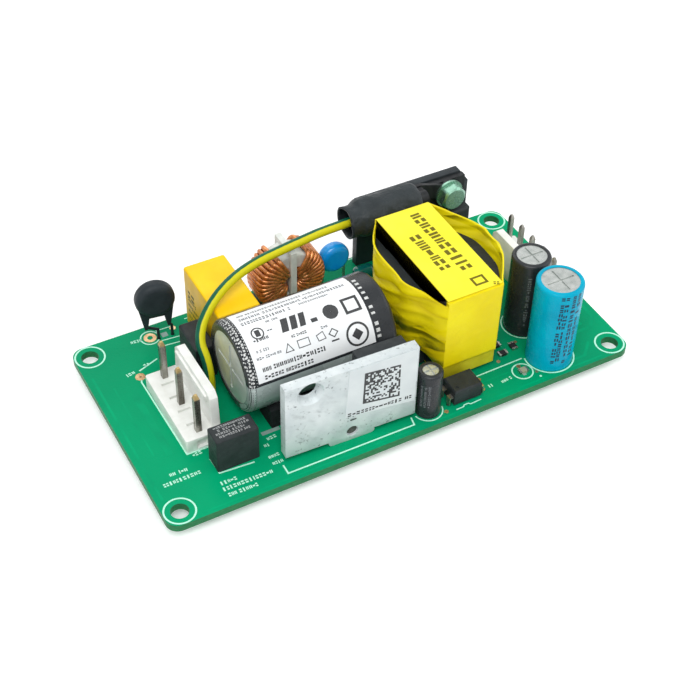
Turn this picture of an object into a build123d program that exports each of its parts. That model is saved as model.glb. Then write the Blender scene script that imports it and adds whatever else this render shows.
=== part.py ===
from build123d import *
import math
import os

# Open-frame power supply on a 4 x 2 inch circuit board, in millimetres.
# Origin: centre of the four mounting holes, on the underside of the board.
# +X runs from the mains inlet to the low-voltage outlet, +Y to the rear edge, +Z up.

# Circuit board
board_length = 101.6
board_width = 50.8
board_t = 1.6
board_corner_r = 2.5
mount_pitch_x = 95.25
mount_pitch_y = 44.45
mount_hole_r = 1.75
lead_out = 2.0              # how far leads stand out below the board
lead_clearance = 0.12       # between a lead and the wall of its hole
joint_h = 1.1               # solder cone
joint_skirt = 0.65

# Mains inlet header: five positions, three of them with a pin
ac_pitch = 3.96
ac_positions = 5
ac_pin_every = 2
ac_pin_x = -37.6
ac_y = -0.45
ac_back = 3.3               # from the pins to the outer side of the base
ac_front = 4.3              # from the pins to the lock side of the base
ac_base_h = 3.2
ac_lock_t = 1.7
ac_lock_h = 11.0
ac_lock_inset = 1.9
ac_pin_side = 1.14
ac_pin_h = 12.5

# Outlet header: six positions with a pin in each
dc_pitch = 3.96
dc_positions = 6
dc_pin_x = 44.1
dc_y = 0.7
dc_back = 2.9
dc_front = 4.7
dc_base_h = 3.2
dc_lock_t = 1.7
dc_lock_h = 9.6
dc_lock_inset = 2.3
dc_pin_side = 0.9
dc_pin_h = 11.3

# Box fuses
fuse_length = 8.6
fuse_width = 4.3
fuse_h = 8.0
fuse_pitch = 5.08
fuse_lead_r = 0.3
fuse_edge = 0.35
line_fuse_x = -33.4
line_fuse_y = -15.05
neutral_fuse_x = -29.05
neutral_fuse_y = 10.55

# Inrush thermistor, a coated disc on two kinked legs
therm_x = -33.4
therm_y = 21.0
therm_z = 11.0
therm_r = 4.05
therm_t = 3.4
therm_turn = -8.0
therm_skirt_w = 5.3
therm_skirt_drop = 7.2
therm_lead_r = 0.3
therm_lead_spread = 4.6
therm_foot_pitch = 3.0
therm_foot_x = -31.8
therm_kink_z = 2.6

# Suppression capacitor across the mains
x_cap_x = -21.5
x_cap_y = 15.15
x_cap_w = 9.0
x_cap_l = 16.9
x_cap_h = 14.3
x_cap_edge = 0.5
x_cap_pitch = 15.0
x_cap_lead_r = 0.4

# Common-mode choke, a wound ring that stands on a saddle
choke_x = -5.6
choke_y = 18.6
choke_z = 8.5
choke_case_r = 6.6
choke_case_bore = 3.2
choke_case_t = 5.4
choke_wire_d = 1.15
choke_gap_half_angle = 24.0
choke_divider_t = 1.3
choke_divider_w = 7.4
choke_base_w = 13.0
choke_base_l = 7.6
choke_base_h = 2.4
choke_lead_pitch_x = 9.0
choke_lead_pitch_y = 5.0
choke_lead_r = 0.45

# Safety disc capacitor
y_cap_x = 5.8
y_cap_y = 19.3
y_cap_z = 7.9
y_cap_r = 3.4
y_cap_t = 3.0
y_cap_pitch = 5.0
y_cap_lead_r = 0.3

# Small brown disc capacitor
snub_x = 5.2
snub_y = 8.6
snub_z = 5.6
snub_r = 2.4
snub_t = 2.2
snub_pitch = 2.5
snub_lead_r = 0.25

# Moulded bead inductor, lying down
bead_x = 11.8
bead_y = 17.0
bead_r = 1.5
bead_l = 4.4
bead_lift = 1.6
bead_lead_r = 0.28
bead_lead_run = 0.9

# Bulk capacitor, lying along X in a pad
bulk_x = -28.2
bulk_y = -3.3
bulk_z = 11.0
bulk_r = 9.25
bulk_length = 31.0
bulk_sleeve_t = 0.18
bulk_shoulder = 0.9
bulk_sleeve_lap = 0.9
bulk_vent_depth = 0.35
bulk_vent_w = 0.7
bulk_bung_r = 6.4
bulk_bung_recess = 1.2
bulk_bung_t = 2.6
bulk_lead_pitch = 7.5
bulk_lead_r = 0.4
bulk_lead_run = 2.0
bulk_pad_x0 = -24.0
bulk_pad_l = 22.0
bulk_pad_w = 17.0
bulk_pad_h = 4.6
bulk_label_x0 = -26.6
bulk_label_l = 24.6
bulk_label_from = 60.0
bulk_label_to = 164.0
bulk_label_t = 0.08

# Front heatsink, a plate that stands slightly askew
front_plate_x = -11.9
front_plate_y = -21.2
front_plate_turn = -2.2
front_plate_l = 27.2
front_plate_t = 2.1
front_plate_lift = 1.1
front_plate_top = 18.7
front_foot_x = 0.1
front_foot_w = 9.6
front_tab_w = 2.0
front_tab_pitch = 6.0
front_hole_x = -8.5
front_hole_z = 15.9
front_hole_r = 1.95
front_sink_r = 2.7
front_sink_depth = 1.0
front_stake_r = 1.2
front_stake_x = 0.2
front_stake_z = 2.3
front_stake_depth = 0.5
front_label_l = 15.0
front_label_low = 6.6
front_label_fall = 1.7
front_label_t = 0.08
front_pad_t = 0.3
front_pad_l = 17.0
front_pad_h = 16.8
front_switch_x = 7.4
front_switch_w = 10.2
front_switch_t = 4.4
front_switch_h = 15.9
front_switch_z = 1.9
front_switch_step = 1.6
front_switch_pitch = 2.54
front_switch_lead = 0.7

# Transformer: stacked cores with the coil bulging out on both long sides
core_x = 16.8
core_y = -2.8
core_w = 12.2
core_l = 28.2
core_bottom = 1.0
core_top = 22.0
tape_t = 0.25
core_leg = 4.4
core_yoke = 4.0
core_centre_leg = 8.6
coil_bulge_left = 4.0
coil_bulge_right = 5.7
wrap_low = 4.6
wrap_rim_left = 20.5
wrap_rim_right = 21.7
wrap_t = 0.35
wrap_taper = 0.9
flange_t = 0.9
bobbin_rail_w = 3.0
bobbin_rail_l = 15.0
bobbin_clearance = 0.15
trafo_pin_pitch = 3.5
trafo_pins_per_side = 4
trafo_pin_r = 0.35
coil_gap = 0.4

# Rear heatsink with the output rectifier, and the ground wire's terminal under its screw
rear_plate_x0 = 13.1
rear_plate_x1 = 40.2
rear_plate_y = 22.4
rear_plate_t = 1.8
rear_plate_top = 17.25
rear_chamfer_x = 2.3
rear_chamfer_z = 3.3
rear_tab_w = 2.4
rear_tab_inset = 3.0
screw_x = 34.0
screw_z = 14.0
screw_r = 1.5
screw_clearance = 0.1
screw_head_flats = 5.2
screw_head_h = 2.2
washer_r = 3.2
washer_t = 0.5
rect_w = 8.8
rect_t = 4.5
rect_tab_t = 1.3
rect_body_h = 9.2
rect_body_z = 1.0
rect_tab_margin = 2.8
rect_pitch = 2.54
rect_lead_w = 0.7
rect_lead_y = 1.9
terminal_t = 0.8
terminal_ring_r = 2.9
terminal_barrel_r = 1.5
terminal_barrel_l = 4.0

# Ground wire, its ferrite bead and the shrunk sleeve round them
wire_d = 2.0
sleeve_x0 = 7.8
sleeve_x1 = 24.2
sleeve_y = 18.2
sleeve_z = 16.9
sleeve_r = 4.1
sleeve_mouth_r = 3.5
sleeve_mouth_l = 2.2
sleeve_t = 0.4
ferrite_l = 10.6
ferrite_bore_clearance = 0.2
wire_end_x = 23.0
wire_lead_r = 0.6
wire_lead_top = 0.9

# Output and auxiliary electrolytics: x, y, radius over the sleeve, height, lead pitch
large_cap = (34.5, -19.4, 4.75, 20.0, 5.0)
small_cap = (34.9, -9.2, 4.0, 18.5, 3.5)
aux_cap = (4.9, -21.2, 2.5, 10.8, 2.0)
cap_sleeve_t = 0.15
cap_lead_r = 0.3
cap_neck_z = 1.6
cap_neck_depth = 0.35
cap_lap = 0.8
cap_score_w = 0.35
cap_score_depth = 0.2

# Optocoupler
opto_x = 13.0
opto_y = -20.6
opto_w = 6.2
opto_l = 4.6
opto_h = 3.4
opto_standoff = 0.4
opto_row = 7.62
opto_pitch = 2.54
opto_lead_w = 0.5
opto_lead_t = 0.25
opto_waist = 0.25

# Chip components, and the indicator lamp
chip_l = 2.0
chip_w = 1.25
chip_h = 0.6
chip_cap_l = 0.4
lamp_x = 27.3
lamp_y = -21.0
chips_above = [(8.0, -17.6, 90), (8.0, -14.6, 90), (26.3, -12.4, 0), (26.3, -15.0, 0),
               (29.3, -14.2, 90), (25.4, -9.8, 90)]
chips_below = [(-14.0, -10.0, 0), (-14.0, -7.0, 0), (-10.0, -3.0, 90), (-6.5, -2.5, 90),
               (16.8, -6.0, 0), (16.8, -3.0, 0), (16.8, 0.0, 0), (20.5, -14.0, 90),
               (28.8, 2.0, 0), (28.8, 5.0, 0), (-20.0, -2.0, 0), (-20.0, 1.0, 0)]
control_x = -1.0
control_y = -7.0
control_w = 3.9
control_l = 4.9
control_h = 1.5
control_pitch = 1.27
control_span = 6.0
control_lead_w = 0.42
control_lead_t = 0.2
control_lift = 0.15

top = board_t
pierced = []                # every hole for a lead: x, y, radius of the lead
slots = []                  # every slot for a tab: a solid that cuts the board
nodes = {}


def block(x, y, z):
    """A box between pairs of limits."""
    centre = [(a + b) / 2 for a, b in (x, y, z)]
    size = [b - a for a, b in (x, y, z)]
    return Pos(*centre) * Box(*size)


def span(middle, size):
    return (middle - size / 2, middle + size / 2)


def post(x, y, z0, z1, r):
    """An upright round bar."""
    return Pos(x, y, (z0 + z1) / 2) * Cylinder(r, z1 - z0)


def bar_x(x0, x1, y, z, r):
    """A round bar along X."""
    return Pos((x0 + x1) / 2, y, z) * Rot(0, 90, 0) * Cylinder(r, x1 - x0)


def bar_y(x, y0, y1, z, r):
    """A round bar along Y."""
    return Pos(x, (y0 + y1) / 2, z) * Rot(90, 0, 0) * Cylinder(r, y1 - y0)


def pierce(x, y, r, metal):
    """Note a hole for a piece of metal of half-width r, and return the metal."""
    pierced.append((x, y, r, metal))
    return metal


def lead(x, y, z, r):
    """A lead from z down through the board, and its hole."""
    return pierce(x, y, r, post(x, y, -lead_out, z, r))


def square_pin(x, y, z, side):
    """A square pin through the board with a tapered tip."""
    tip = side * 0.8
    shank = block(span(x, side), span(y, side), (-lead_out, z - tip))
    foot = Pos(x, y, z - tip) * Rectangle(side, side)
    point = Pos(x, y, z) * Rectangle(side * 0.45, side * 0.45)
    return pierce(x, y, side / math.sqrt(2), shank + loft([foot, point]))


def fuse_all(shapes):
    result = shapes[0]
    for shape in shapes[1:]:
        result += shape
    return result


# Pin headers
def header(x, y, pitch, positions, back, front, base_h, lock_t, lock_h, inset, pin_side, pins, side):
    """Base with a friction lock wall. side is +1 where the wall stands towards +X."""
    length = pitch * positions
    outer, inner = x - side * back, x + side * front
    base = block(sorted((outer, inner)), span(y, length), (top, top + base_h))
    base = chamfer(base.edges().filter_by(Axis.Z), 0.3)
    wall_x = sorted((inner, inner - side * lock_t))
    half = length / 2 - inset
    nub = 1.1
    outline = Plane.YZ * Polygon((y - half - 0.5, base_h), (y - half, lock_h - nub),
                                 (y - half + nub, lock_h), (y + half - nub, lock_h),
                                 (y + half, lock_h - nub), (y + half + 0.5, base_h), align=None)
    wall = Pos(wall_x[0], 0, top) * extrude(outline, lock_t, dir=(1, 0, 0))
    hook_w = 0.45
    hook_x = sorted((inner - side * lock_t, inner - side * (lock_t + hook_w)))
    hook = block(hook_x, span(y, 2 * half - 2 * nub), (top + lock_h - 2.4, top + lock_h - 1.0))
    body = base + wall + hook
    for i in range(positions - 1):
        slot_y = y + (i - (positions - 2) / 2) * pitch
        body -= block(span(x - side * 0.2, 2.6), span(slot_y, 0.55), (top + base_h - 0.8, top + base_h))
    notch = block(span(x, 2.2), (y - length / 2, y - length / 2 + 0.7), (top + 0.5, top + base_h - 0.7))
    body -= notch
    for pin_y in pins:
        body -= block(span(x, pin_side), span(pin_y, pin_side), (top, top + base_h))
    return body


ac_pins = [ac_y + (i - (ac_positions - 1) / 2) * ac_pitch for i in range(0, ac_positions, ac_pin_every)]
dc_pins = [dc_y + (i - (dc_positions - 1) / 2) * dc_pitch for i in range(dc_positions)]
nodes["ac_header_housing"] = header(ac_pin_x, ac_y, ac_pitch, ac_positions, ac_back, ac_front, ac_base_h,
                                    ac_lock_t, ac_lock_h, ac_lock_inset, ac_pin_side, ac_pins, 1)
nodes["dc_header_housing"] = header(dc_pin_x, dc_y, dc_pitch, dc_positions, dc_back, dc_front, dc_base_h,
                                    dc_lock_t, dc_lock_h, dc_lock_inset, dc_pin_side, dc_pins, -1)
nodes["ac_header_pins"] = Compound([square_pin(ac_pin_x, y, top + ac_pin_h, ac_pin_side) for y in ac_pins])
nodes["dc_header_pins"] = Compound([square_pin(dc_pin_x, y, top + dc_pin_h, dc_pin_side) for y in dc_pins])


# Fuses
def box_fuse(x, y, along_x):
    size = (fuse_length, fuse_width) if along_x else (fuse_width, fuse_length)
    body = block(span(x, size[0]), span(y, size[1]), (top, top + fuse_h))
    body = fillet(body.edges().filter_by(Axis.Z) + body.faces().sort_by(Axis.Z)[-1].edges(), fuse_edge)
    return body


nodes["line_fuse"] = box_fuse(line_fuse_x, line_fuse_y, True)
nodes["neutral_fuse"] = box_fuse(neutral_fuse_x, neutral_fuse_y, False)
nodes["fuse_leads"] = Compound(
    [lead(line_fuse_x + s * fuse_pitch / 2, line_fuse_y, top, fuse_lead_r) for s in (-1, 1)]
    + [lead(neutral_fuse_x, neutral_fuse_y + s * fuse_pitch / 2, top, fuse_lead_r) for s in (-1, 1)])

# Thermistor: the coating runs down the legs as two short points
therm_place = Pos(therm_x, therm_y, top + therm_z) * Rot(0, 0, therm_turn)
therm_disc = Rot(90, 0, 0) * Cylinder(therm_r, therm_t)
therm_disc = fillet(therm_disc.edges().filter_by(GeomType.CIRCLE), therm_t * 0.4)
skirt_half = therm_skirt_w / 2
therm_skirt = Plane.XZ * Polygon(
    (-therm_r * 0.9, -therm_r * 0.3), (-skirt_half, -therm_skirt_drop), (-skirt_half + 0.6, -therm_skirt_drop),
    (-skirt_half + 1.1, -therm_r - 0.3), (skirt_half - 1.1, -therm_r - 0.3),
    (skirt_half - 0.6, -therm_skirt_drop), (skirt_half, -therm_skirt_drop), (therm_r * 0.9, -therm_r * 0.3),
    align=None)
therm_body = therm_disc + extrude(therm_skirt, therm_t * 0.25, both=True)
nodes["thermistor"] = therm_place * therm_body


def bent_lead(points, r):
    """A lead that follows straight runs with mitred bends."""
    path = Polyline(*points)
    start = Plane(origin=points[0], z_dir=path % 0)
    return sweep(start * Circle(r), path=path, transition=Transition.RIGHT)


therm_legs = []
for side in (-1, 1):
    hip = therm_place * Pos(side * (therm_skirt_w / 2 - 0.3), 0, -therm_skirt_drop)
    hip_at = tuple(hip.position)
    foot_x = therm_foot_x + side * therm_foot_pitch / 2
    leg = bent_lead([hip_at, (foot_x, therm_y, top + therm_kink_z), (foot_x, therm_y, -lead_out)], therm_lead_r)
    therm_legs.append(pierce(foot_x, therm_y, therm_lead_r, leg - nodes["thermistor"]))
nodes["thermistor_leads"] = Compound(therm_legs)

# Suppression capacitor
x_box = block(span(x_cap_x, x_cap_w), span(x_cap_y, x_cap_l), (top, top + x_cap_h))
nodes["x_capacitor"] = fillet(x_box.edges().filter_by(Axis.Z) + x_box.faces().sort_by(Axis.Z)[-1].edges(),
                              x_cap_edge)
filter_leads = [lead(x_cap_x, x_cap_y + s * x_cap_pitch / 2, top, x_cap_lead_r) for s in (-1, 1)]

# Choke: cased ring, divider and two windings, all about an axis along Y
choke_at = Pos(choke_x, choke_y, top + choke_z)
choke_r = choke_case_r + choke_wire_d
choke_bore = choke_case_bore - choke_wire_d
choke_t = choke_case_t + 2 * choke_wire_d
ring_face = Plane.XY * Pos((choke_case_r + choke_case_bore) / 2, 0) * Rectangle(
    choke_case_r - choke_case_bore, choke_case_t)
ring = revolve(ring_face, Axis.Y)
ring = fillet(ring.edges().filter_by(GeomType.CIRCLE), 0.5)
divider = block(span(0, choke_divider_t), span(0, choke_divider_w), (-choke_z + choke_base_h, choke_r))
divider -= Rot(90, 0, 0) * Cylinder(choke_case_r, choke_case_t)
divider += block(span(0, choke_divider_t), span(0, choke_case_t),
                 (-choke_case_bore - 0.1, choke_case_bore + 0.1))
nodes["choke_case"] = choke_at * (ring + divider)
coil_face = Plane.XY * Pos((choke_r + choke_bore) / 2, 0) * RectangleRounded(
    choke_r - choke_bore, choke_t, choke_wire_d * 0.9)
hollow_face = Plane.XY * Pos((choke_case_r + choke_case_bore) / 2, 0) * Rectangle(
    choke_case_r - choke_case_bore + 0.02, choke_case_t + 0.02)
sweep_angle = 180 - 2 * choke_gap_half_angle
winding = revolve(coil_face, Axis.Y, sweep_angle) - revolve(hollow_face, Axis.Y, sweep_angle)
for name, start in (("choke_winding_right", 90 - choke_gap_half_angle),
                    ("choke_winding_left", 270 - choke_gap_half_angle)):
    nodes[name] = choke_at * Rot(0, -start, 0) * winding
saddle = block(span(choke_x, choke_base_w), span(choke_y, choke_base_l), (top, top + choke_base_h))
saddle -= bar_y(choke_x, choke_y - choke_t, choke_y + choke_t, top + choke_z, choke_r)
nodes["choke_base"] = saddle
for sx in (-1, 1):
    for sy in (-1, 1):
        filter_leads.append(lead(choke_x + sx * choke_lead_pitch_x / 2, choke_y + sy * choke_lead_pitch_y / 2,
                                 top, choke_lead_r))


# Disc capacitors, standing across X
def disc_cap(x, y, z, r, t):
    disc = bar_y(x, y - t / 2, y + t / 2, top + z, r)
    return fillet(disc.edges().filter_by(GeomType.CIRCLE), t * 0.42)


def disc_leads(x, y, z, r, pitch, lead_r):
    """Straight leads that start where they meet the coated disc."""
    reach = math.sqrt(max(r * r - (pitch / 2) ** 2, 0))
    return [lead(x + s * pitch / 2, y, top + z - reach * 0.55, lead_r) for s in (-1, 1)]


nodes["y_capacitor"] = disc_cap(y_cap_x, y_cap_y, y_cap_z, y_cap_r, y_cap_t)
nodes["snubber_capacitor"] = disc_cap(snub_x, snub_y, snub_z, snub_r, snub_t)
disc_lead_parts = []
for leads, disc in ((disc_leads(y_cap_x, y_cap_y, y_cap_z, y_cap_r, y_cap_pitch, y_cap_lead_r), "y_capacitor"),
                    (disc_leads(snub_x, snub_y, snub_z, snub_r, snub_pitch, snub_lead_r), "snubber_capacitor")):
    for shape in leads:
        disc_lead_parts.append(shape - nodes[disc])

# Bead inductor
bead_z = top + bead_lift + bead_r
bead_body = bar_x(bead_x - bead_l / 2, bead_x + bead_l / 2, bead_y, bead_z, bead_r)
nodes["bead_inductor"] = fillet(bead_body.edges().filter_by(GeomType.CIRCLE), bead_r * 0.6)
for side in (-1, 1):
    face_x = bead_x + side * bead_l / 2
    leg_x = face_x + side * bead_lead_run
    leg = bent_lead([(face_x, bead_y, bead_z), (leg_x, bead_y, bead_z), (leg_x, bead_y, -lead_out)], bead_lead_r)
    disc_lead_parts.append(pierce(leg_x, bead_y, bead_lead_r, leg))
nodes["filter_leads"] = Compound(filter_leads + disc_lead_parts)

# Bulk capacitor: can with a vent end at -X and a bung at +X
bulk_at = Pos(bulk_x, bulk_y, top + bulk_z) * Rot(0, 90, 0)
can_r = bulk_r - bulk_sleeve_t
can = Pos(0, 0, bulk_length / 2) * Cylinder(can_r, bulk_length)
can = fillet(can.edges().filter_by(GeomType.CIRCLE), bulk_shoulder)
can -= Pos(0, 0, bulk_length - bulk_bung_recess / 2) * Cylinder(bulk_bung_r, bulk_bung_recess)
can -= Pos(0, 0, bulk_length - bulk_bung_recess - bulk_bung_t / 2) * Cylinder(bulk_bung_r, bulk_bung_t)
for turn in (0, 90):
    can -= Rot(0, 0, turn) * Pos(0, 0, bulk_vent_depth / 2) * Box(can_r * 1.2, bulk_vent_w, bulk_vent_depth)
nodes["bulk_capacitor_can"] = bulk_at * can
bung = Pos(0, 0, bulk_length - bulk_bung_recess - bulk_bung_t / 2) * Cylinder(bulk_bung_r, bulk_bung_t)
lead_start = bulk_x + bulk_length - bulk_bung_recess
lead_drop_x = bulk_x + bulk_length + bulk_lead_run
bulk_leads = []
for side in (-1, 1):
    y = bulk_y + side * bulk_lead_pitch / 2
    leg = bent_lead([(lead_start, y, top + bulk_z), (lead_drop_x, y, top + bulk_z), (lead_drop_x, y, -lead_out)],
                    bulk_lead_r)
    bulk_leads.append(pierce(lead_drop_x, y, bulk_lead_r, leg))
nodes["bulk_capacitor_bung"] = bulk_at * bung
nodes["bulk_capacitor_leads"] = Compound(bulk_leads)
skin = Pos(0, 0, bulk_length / 2) * Cylinder(bulk_r, bulk_length + 2 * bulk_sleeve_t)
skin = fillet(skin.edges().filter_by(GeomType.CIRCLE), bulk_shoulder + bulk_sleeve_t)
skin_core = Pos(0, 0, bulk_length / 2) * Cylinder(can_r, bulk_length)
skin_core = fillet(skin_core.edges().filter_by(GeomType.CIRCLE), bulk_shoulder)
lap_r = can_r - bulk_shoulder - bulk_sleeve_lap
skin = skin - skin_core - Pos(0, 0, bulk_length / 2) * Cylinder(lap_r, bulk_length + 2)
nodes["bulk_capacitor_sleeve"] = bulk_at * skin
pad = block((bulk_pad_x0, bulk_pad_x0 + bulk_pad_l), span(bulk_y, bulk_pad_w), (top, top + bulk_pad_h))
nodes["bulk_capacitor_pad"] = pad - bar_x(bulk_x - 1, bulk_x + bulk_length + 1, bulk_y, top + bulk_z, bulk_r)


def arc_band(r, t, a0, a1, length):
    """A thin curved sheet about Z, between two angles."""
    outer = CenterArc((0, 0), r + t, a0, a1 - a0)
    inner = CenterArc((0, 0), r, a0, a1 - a0)
    ends = [Line(outer @ 0, inner @ 0), Line(outer @ 1, inner @ 1)]
    return extrude(make_face([outer, inner] + ends), length)


sticker = arc_band(bulk_r, bulk_label_t, bulk_label_from, bulk_label_to, bulk_label_l)
to_x_axis = Plane(origin=(bulk_label_x0, bulk_y, top + bulk_z), x_dir=(0, 1, 0), z_dir=(1, 0, 0))
nodes["bulk_capacitor_label"] = to_x_axis * sticker

# Front heatsink, modelled square about its own middle and turned as a whole
front_at = Pos(front_plate_x, front_plate_y, top) * Rot(0, 0, front_plate_turn)
half_l = front_plate_l / 2
plate = block((-half_l, half_l), (0, front_plate_t), (front_plate_lift, front_plate_top))
foot = block(span(front_foot_x, front_foot_w), (0, front_plate_t), (0, front_plate_lift + 0.6))
foot = fillet(foot.edges().filter_by(Axis.Y).group_by(Axis.Z)[0], front_plate_lift * 0.7)
plate += foot
for side in (-1, 1):
    tab_x = front_foot_x + side * front_tab_pitch / 2
    plate += block(span(tab_x, front_tab_w), (0.2, front_plate_t - 0.2), (-board_t - 1.2, 0.6))
    slots.append(front_at * block(span(tab_x, front_tab_w + 2 * lead_clearance),
                                  (0.2 - lead_clearance, front_plate_t - 0.2 + lead_clearance),
                                  (-board_t - 1, 1)))
plate -= bar_y(front_hole_x, -1, front_plate_t + 1, front_hole_z, front_hole_r)
sink = Pos(front_hole_x, front_sink_depth / 2, front_hole_z) * Rot(90, 0, 0) * Cone(
    front_hole_r, front_sink_r, front_sink_depth)
plate -= sink
plate -= bar_y(front_stake_x, -1, front_stake_depth, front_stake_z, front_stake_r)
nodes["front_heatsink"] = front_at * plate
label_x0 = half_l - front_label_l
label_face = Plane.XZ * Polygon((label_x0, front_label_low), (half_l - 0.3, front_label_low - front_label_fall),
                                (half_l - 0.3, front_plate_top - 0.3), (label_x0 + 0.6, front_plate_top - 0.3),
                                align=None)
nodes["front_heatsink_label"] = front_at * extrude(label_face, front_label_t, dir=(0, -1, 0))
thermal_pad = block((half_l - front_pad_l, half_l - 0.4), (front_plate_t, front_plate_t + front_pad_t),
                    (front_plate_top - front_pad_h, front_plate_top - 0.2))
nodes["front_thermal_pad"] = front_at * thermal_pad
switch_y = front_plate_t + front_pad_t
switch_x = span(front_switch_x, front_switch_w)
switch = block(switch_x, (switch_y, switch_y + front_switch_t), (front_switch_z, front_switch_z + front_switch_h))
shelf_z = front_switch_z + front_switch_h * 0.62
switch -= block(switch_x, (switch_y + front_switch_t - front_switch_step, switch_y + front_switch_t),
                (shelf_z, front_switch_z + front_switch_h))
nodes["front_switch"] = front_at * switch
switch_legs = []
for i in (-1, 0, 1):
    leg_at = front_at * Pos(front_switch_x + i * front_switch_pitch, switch_y + front_switch_t * 0.6, 0)
    leg = leg_at * block(span(0, front_switch_lead), span(0, front_switch_lead * 0.8),
                         (-top - lead_out, front_switch_z))
    switch_legs.append(pierce(leg_at.position.X, leg_at.position.Y, front_switch_lead * 0.66, leg))
nodes["front_switch_leads"] = Compound(switch_legs)

# Transformer core: two E halves seen as one body with two windows
core_z0 = top + core_bottom
core_z1 = top + core_top
core_x0, core_x1 = span(core_x, core_w)
band_y0, band_y1 = span(core_y, core_l - 2 * wrap_t)
ferrite_y0, ferrite_y1 = band_y0 + tape_t, band_y1 - tape_t
core_body = block((core_x0, core_x1), (ferrite_y0, ferrite_y1), (core_z0 + tape_t, core_z1 - tape_t))
window_z = (core_z0 + core_yoke, core_z1 - core_yoke)
window_y = ((ferrite_y0 + core_leg, core_y - core_centre_leg / 2),
            (core_y + core_centre_leg / 2, ferrite_y1 - core_leg))
for y_range in window_y:
    core_body -= block((core_x0 - 1, core_x1 + 1), y_range, window_z)
nodes["transformer_core"] = core_body
band = block((core_x0, core_x1), (band_y0, band_y1), (core_z0, core_z1))
band -= block((core_x0 - 1, core_x1 + 1), (ferrite_y0, ferrite_y1), (core_z0 + tape_t, core_z1 - tape_t))
nodes["transformer_band"] = band


def wrap_profile(shrink, inset):
    """Outline of the tape round core and coil: flat ends, bulging sides."""
    y0, y1 = band_y0 - wrap_t + inset, band_y1 + wrap_t - inset
    x0, x1 = core_x0 + inset * 0.5, core_x1 - inset * 0.5
    left = core_x0 - coil_bulge_left + inset + shrink
    right = core_x1 + coil_bulge_right - inset - shrink
    reach = core_l / 2
    left_side = Spline((x0, y1), (left + 0.9, core_y + reach * 0.62), (left, core_y + reach * 0.36),
                       (left + 0.15, core_y - reach * 0.1), (left + 0.5, core_y - reach * 0.34),
                       (left + 2.1, core_y - reach * 0.58),
                       (left + (x0 - left) * 0.76, y0 + reach * 0.18), (x0, y0))
    right_side = Spline((x1, y0), (right - 2.6, core_y - reach * 0.66), (right - 0.5, core_y - reach * 0.4),
                        (right, core_y - reach * 0.08), (right - 0.3, core_y + reach * 0.26),
                        (right - 1.6, core_y + reach * 0.46), (right - 3.9, core_y + reach * 0.76),
                        (x1 + (right - x1) * 0.16, y1 - reach * 0.12), (x1, y1))
    return make_face([left_side, Line((x0, y0), (x1, y0)), right_side, Line((x1, y1), (x0, y1))])


def tapered(inset, z0, z1):
    low, high = Pos(0, 0, z0) * wrap_profile(wrap_taper, inset), Pos(0, 0, z1) * wrap_profile(0, inset)
    return loft([low, high])


wrap_z0, wrap_z1 = top + wrap_low, top + wrap_rim_right
rim_cut = block((core_x0 - 10, core_x0 - 0.05), (band_y0 - 5, band_y1 + 5), (top + wrap_rim_left, wrap_z1 + 1))
corridor = block((core_x0 - 0.02, core_x1 + 0.02), (band_y0, band_y1), (wrap_z0 - 1, wrap_z1 + 1))
wrap = (tapered(0, wrap_z0, wrap_z1) - rim_cut) - corridor - tapered(wrap_t, wrap_z0 - 0.5, wrap_z1 + 0.5)
nodes["transformer_wrap"] = wrap

# Bobbin and coil fill the windows and stand out on both sides
coil_y0, coil_y1 = window_y[0][0] + bobbin_clearance, window_y[1][1] - bobbin_clearance
inner_skin = tapered(wrap_t + bobbin_clearance, wrap_z0 - 0.5, wrap_z1 + 0.5)
leg_room = block((core_x0 - 0.1, core_x1 + 0.1), span(core_y, core_centre_leg + 2 * bobbin_clearance),
                 (core_z0, core_z1))
core_room = block((core_x0 - bobbin_clearance, core_x1 + bobbin_clearance), (band_y0 - 1, band_y1 + 1),
                  (core_z0 - 1, core_z1 + 1))
in_window = block((core_x0 - 1, core_x1 + 1), (coil_y0, coil_y1), (window_z[0] + bobbin_clearance,
                                                                  window_z[1] - bobbin_clearance))
allowed = inner_skin - core_room + (inner_skin & in_window)
flange_low = window_z[0] + bobbin_clearance
flange_high = window_z[1] - bobbin_clearance
level = block((core_x0 - 20, core_x1 + 20), (band_y0, band_y1), (flange_low, flange_low + flange_t))
level_top = block((core_x0 - 20, core_x1 + 20), (band_y0, band_y1), (flange_high - flange_t, flange_high))
bobbin = (allowed & level) + (allowed & level_top)
tube_t = 0.8
tube = block(span(core_x, core_w + 2 * tube_t), span(core_y, core_centre_leg + 2 * (bobbin_clearance + tube_t)),
             (flange_low, flange_high)) - leg_room
tube &= block((core_x0 - 5, core_x1 + 5), (coil_y0, coil_y1), (flange_low, flange_high))
bobbin = bobbin + tube - leg_room
rail_x = ((core_x0 - bobbin_clearance - bobbin_rail_w, core_x0 - bobbin_clearance),
          (core_x1 + bobbin_clearance, core_x1 + bobbin_clearance + bobbin_rail_w))
for x_range in rail_x:
    bobbin += block(x_range, span(core_y, bobbin_rail_l), (core_z0, wrap_z0 - bobbin_clearance))
    bobbin += block(x_range, span(core_y, bobbin_rail_l), (core_z0, flange_low + 0.1)) & inner_skin
nodes["transformer_bobbin"] = bobbin
coil = tapered(wrap_t + coil_gap, wrap_z0 - 0.5, wrap_z1 + 0.5)
coil &= block((core_x0 - 20, core_x1 + 20), (coil_y0, coil_y1), (flange_low + flange_t, flange_high - flange_t))
coil -= block(span(core_x, core_w + 2 * tube_t), span(core_y, core_centre_leg + 2 * (bobbin_clearance + tube_t)),
              (core_z0, core_z1))
nodes["transformer_coil"] = coil
trafo_pins = []
for x_range in rail_x:
    for i in range(trafo_pins_per_side):
        pin_y = core_y + (i - (trafo_pins_per_side - 1) / 2) * trafo_pin_pitch
        trafo_pins.append(lead(sum(x_range) / 2, pin_y, core_z0, trafo_pin_r))
nodes["transformer_pins"] = Compound(trafo_pins)

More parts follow.
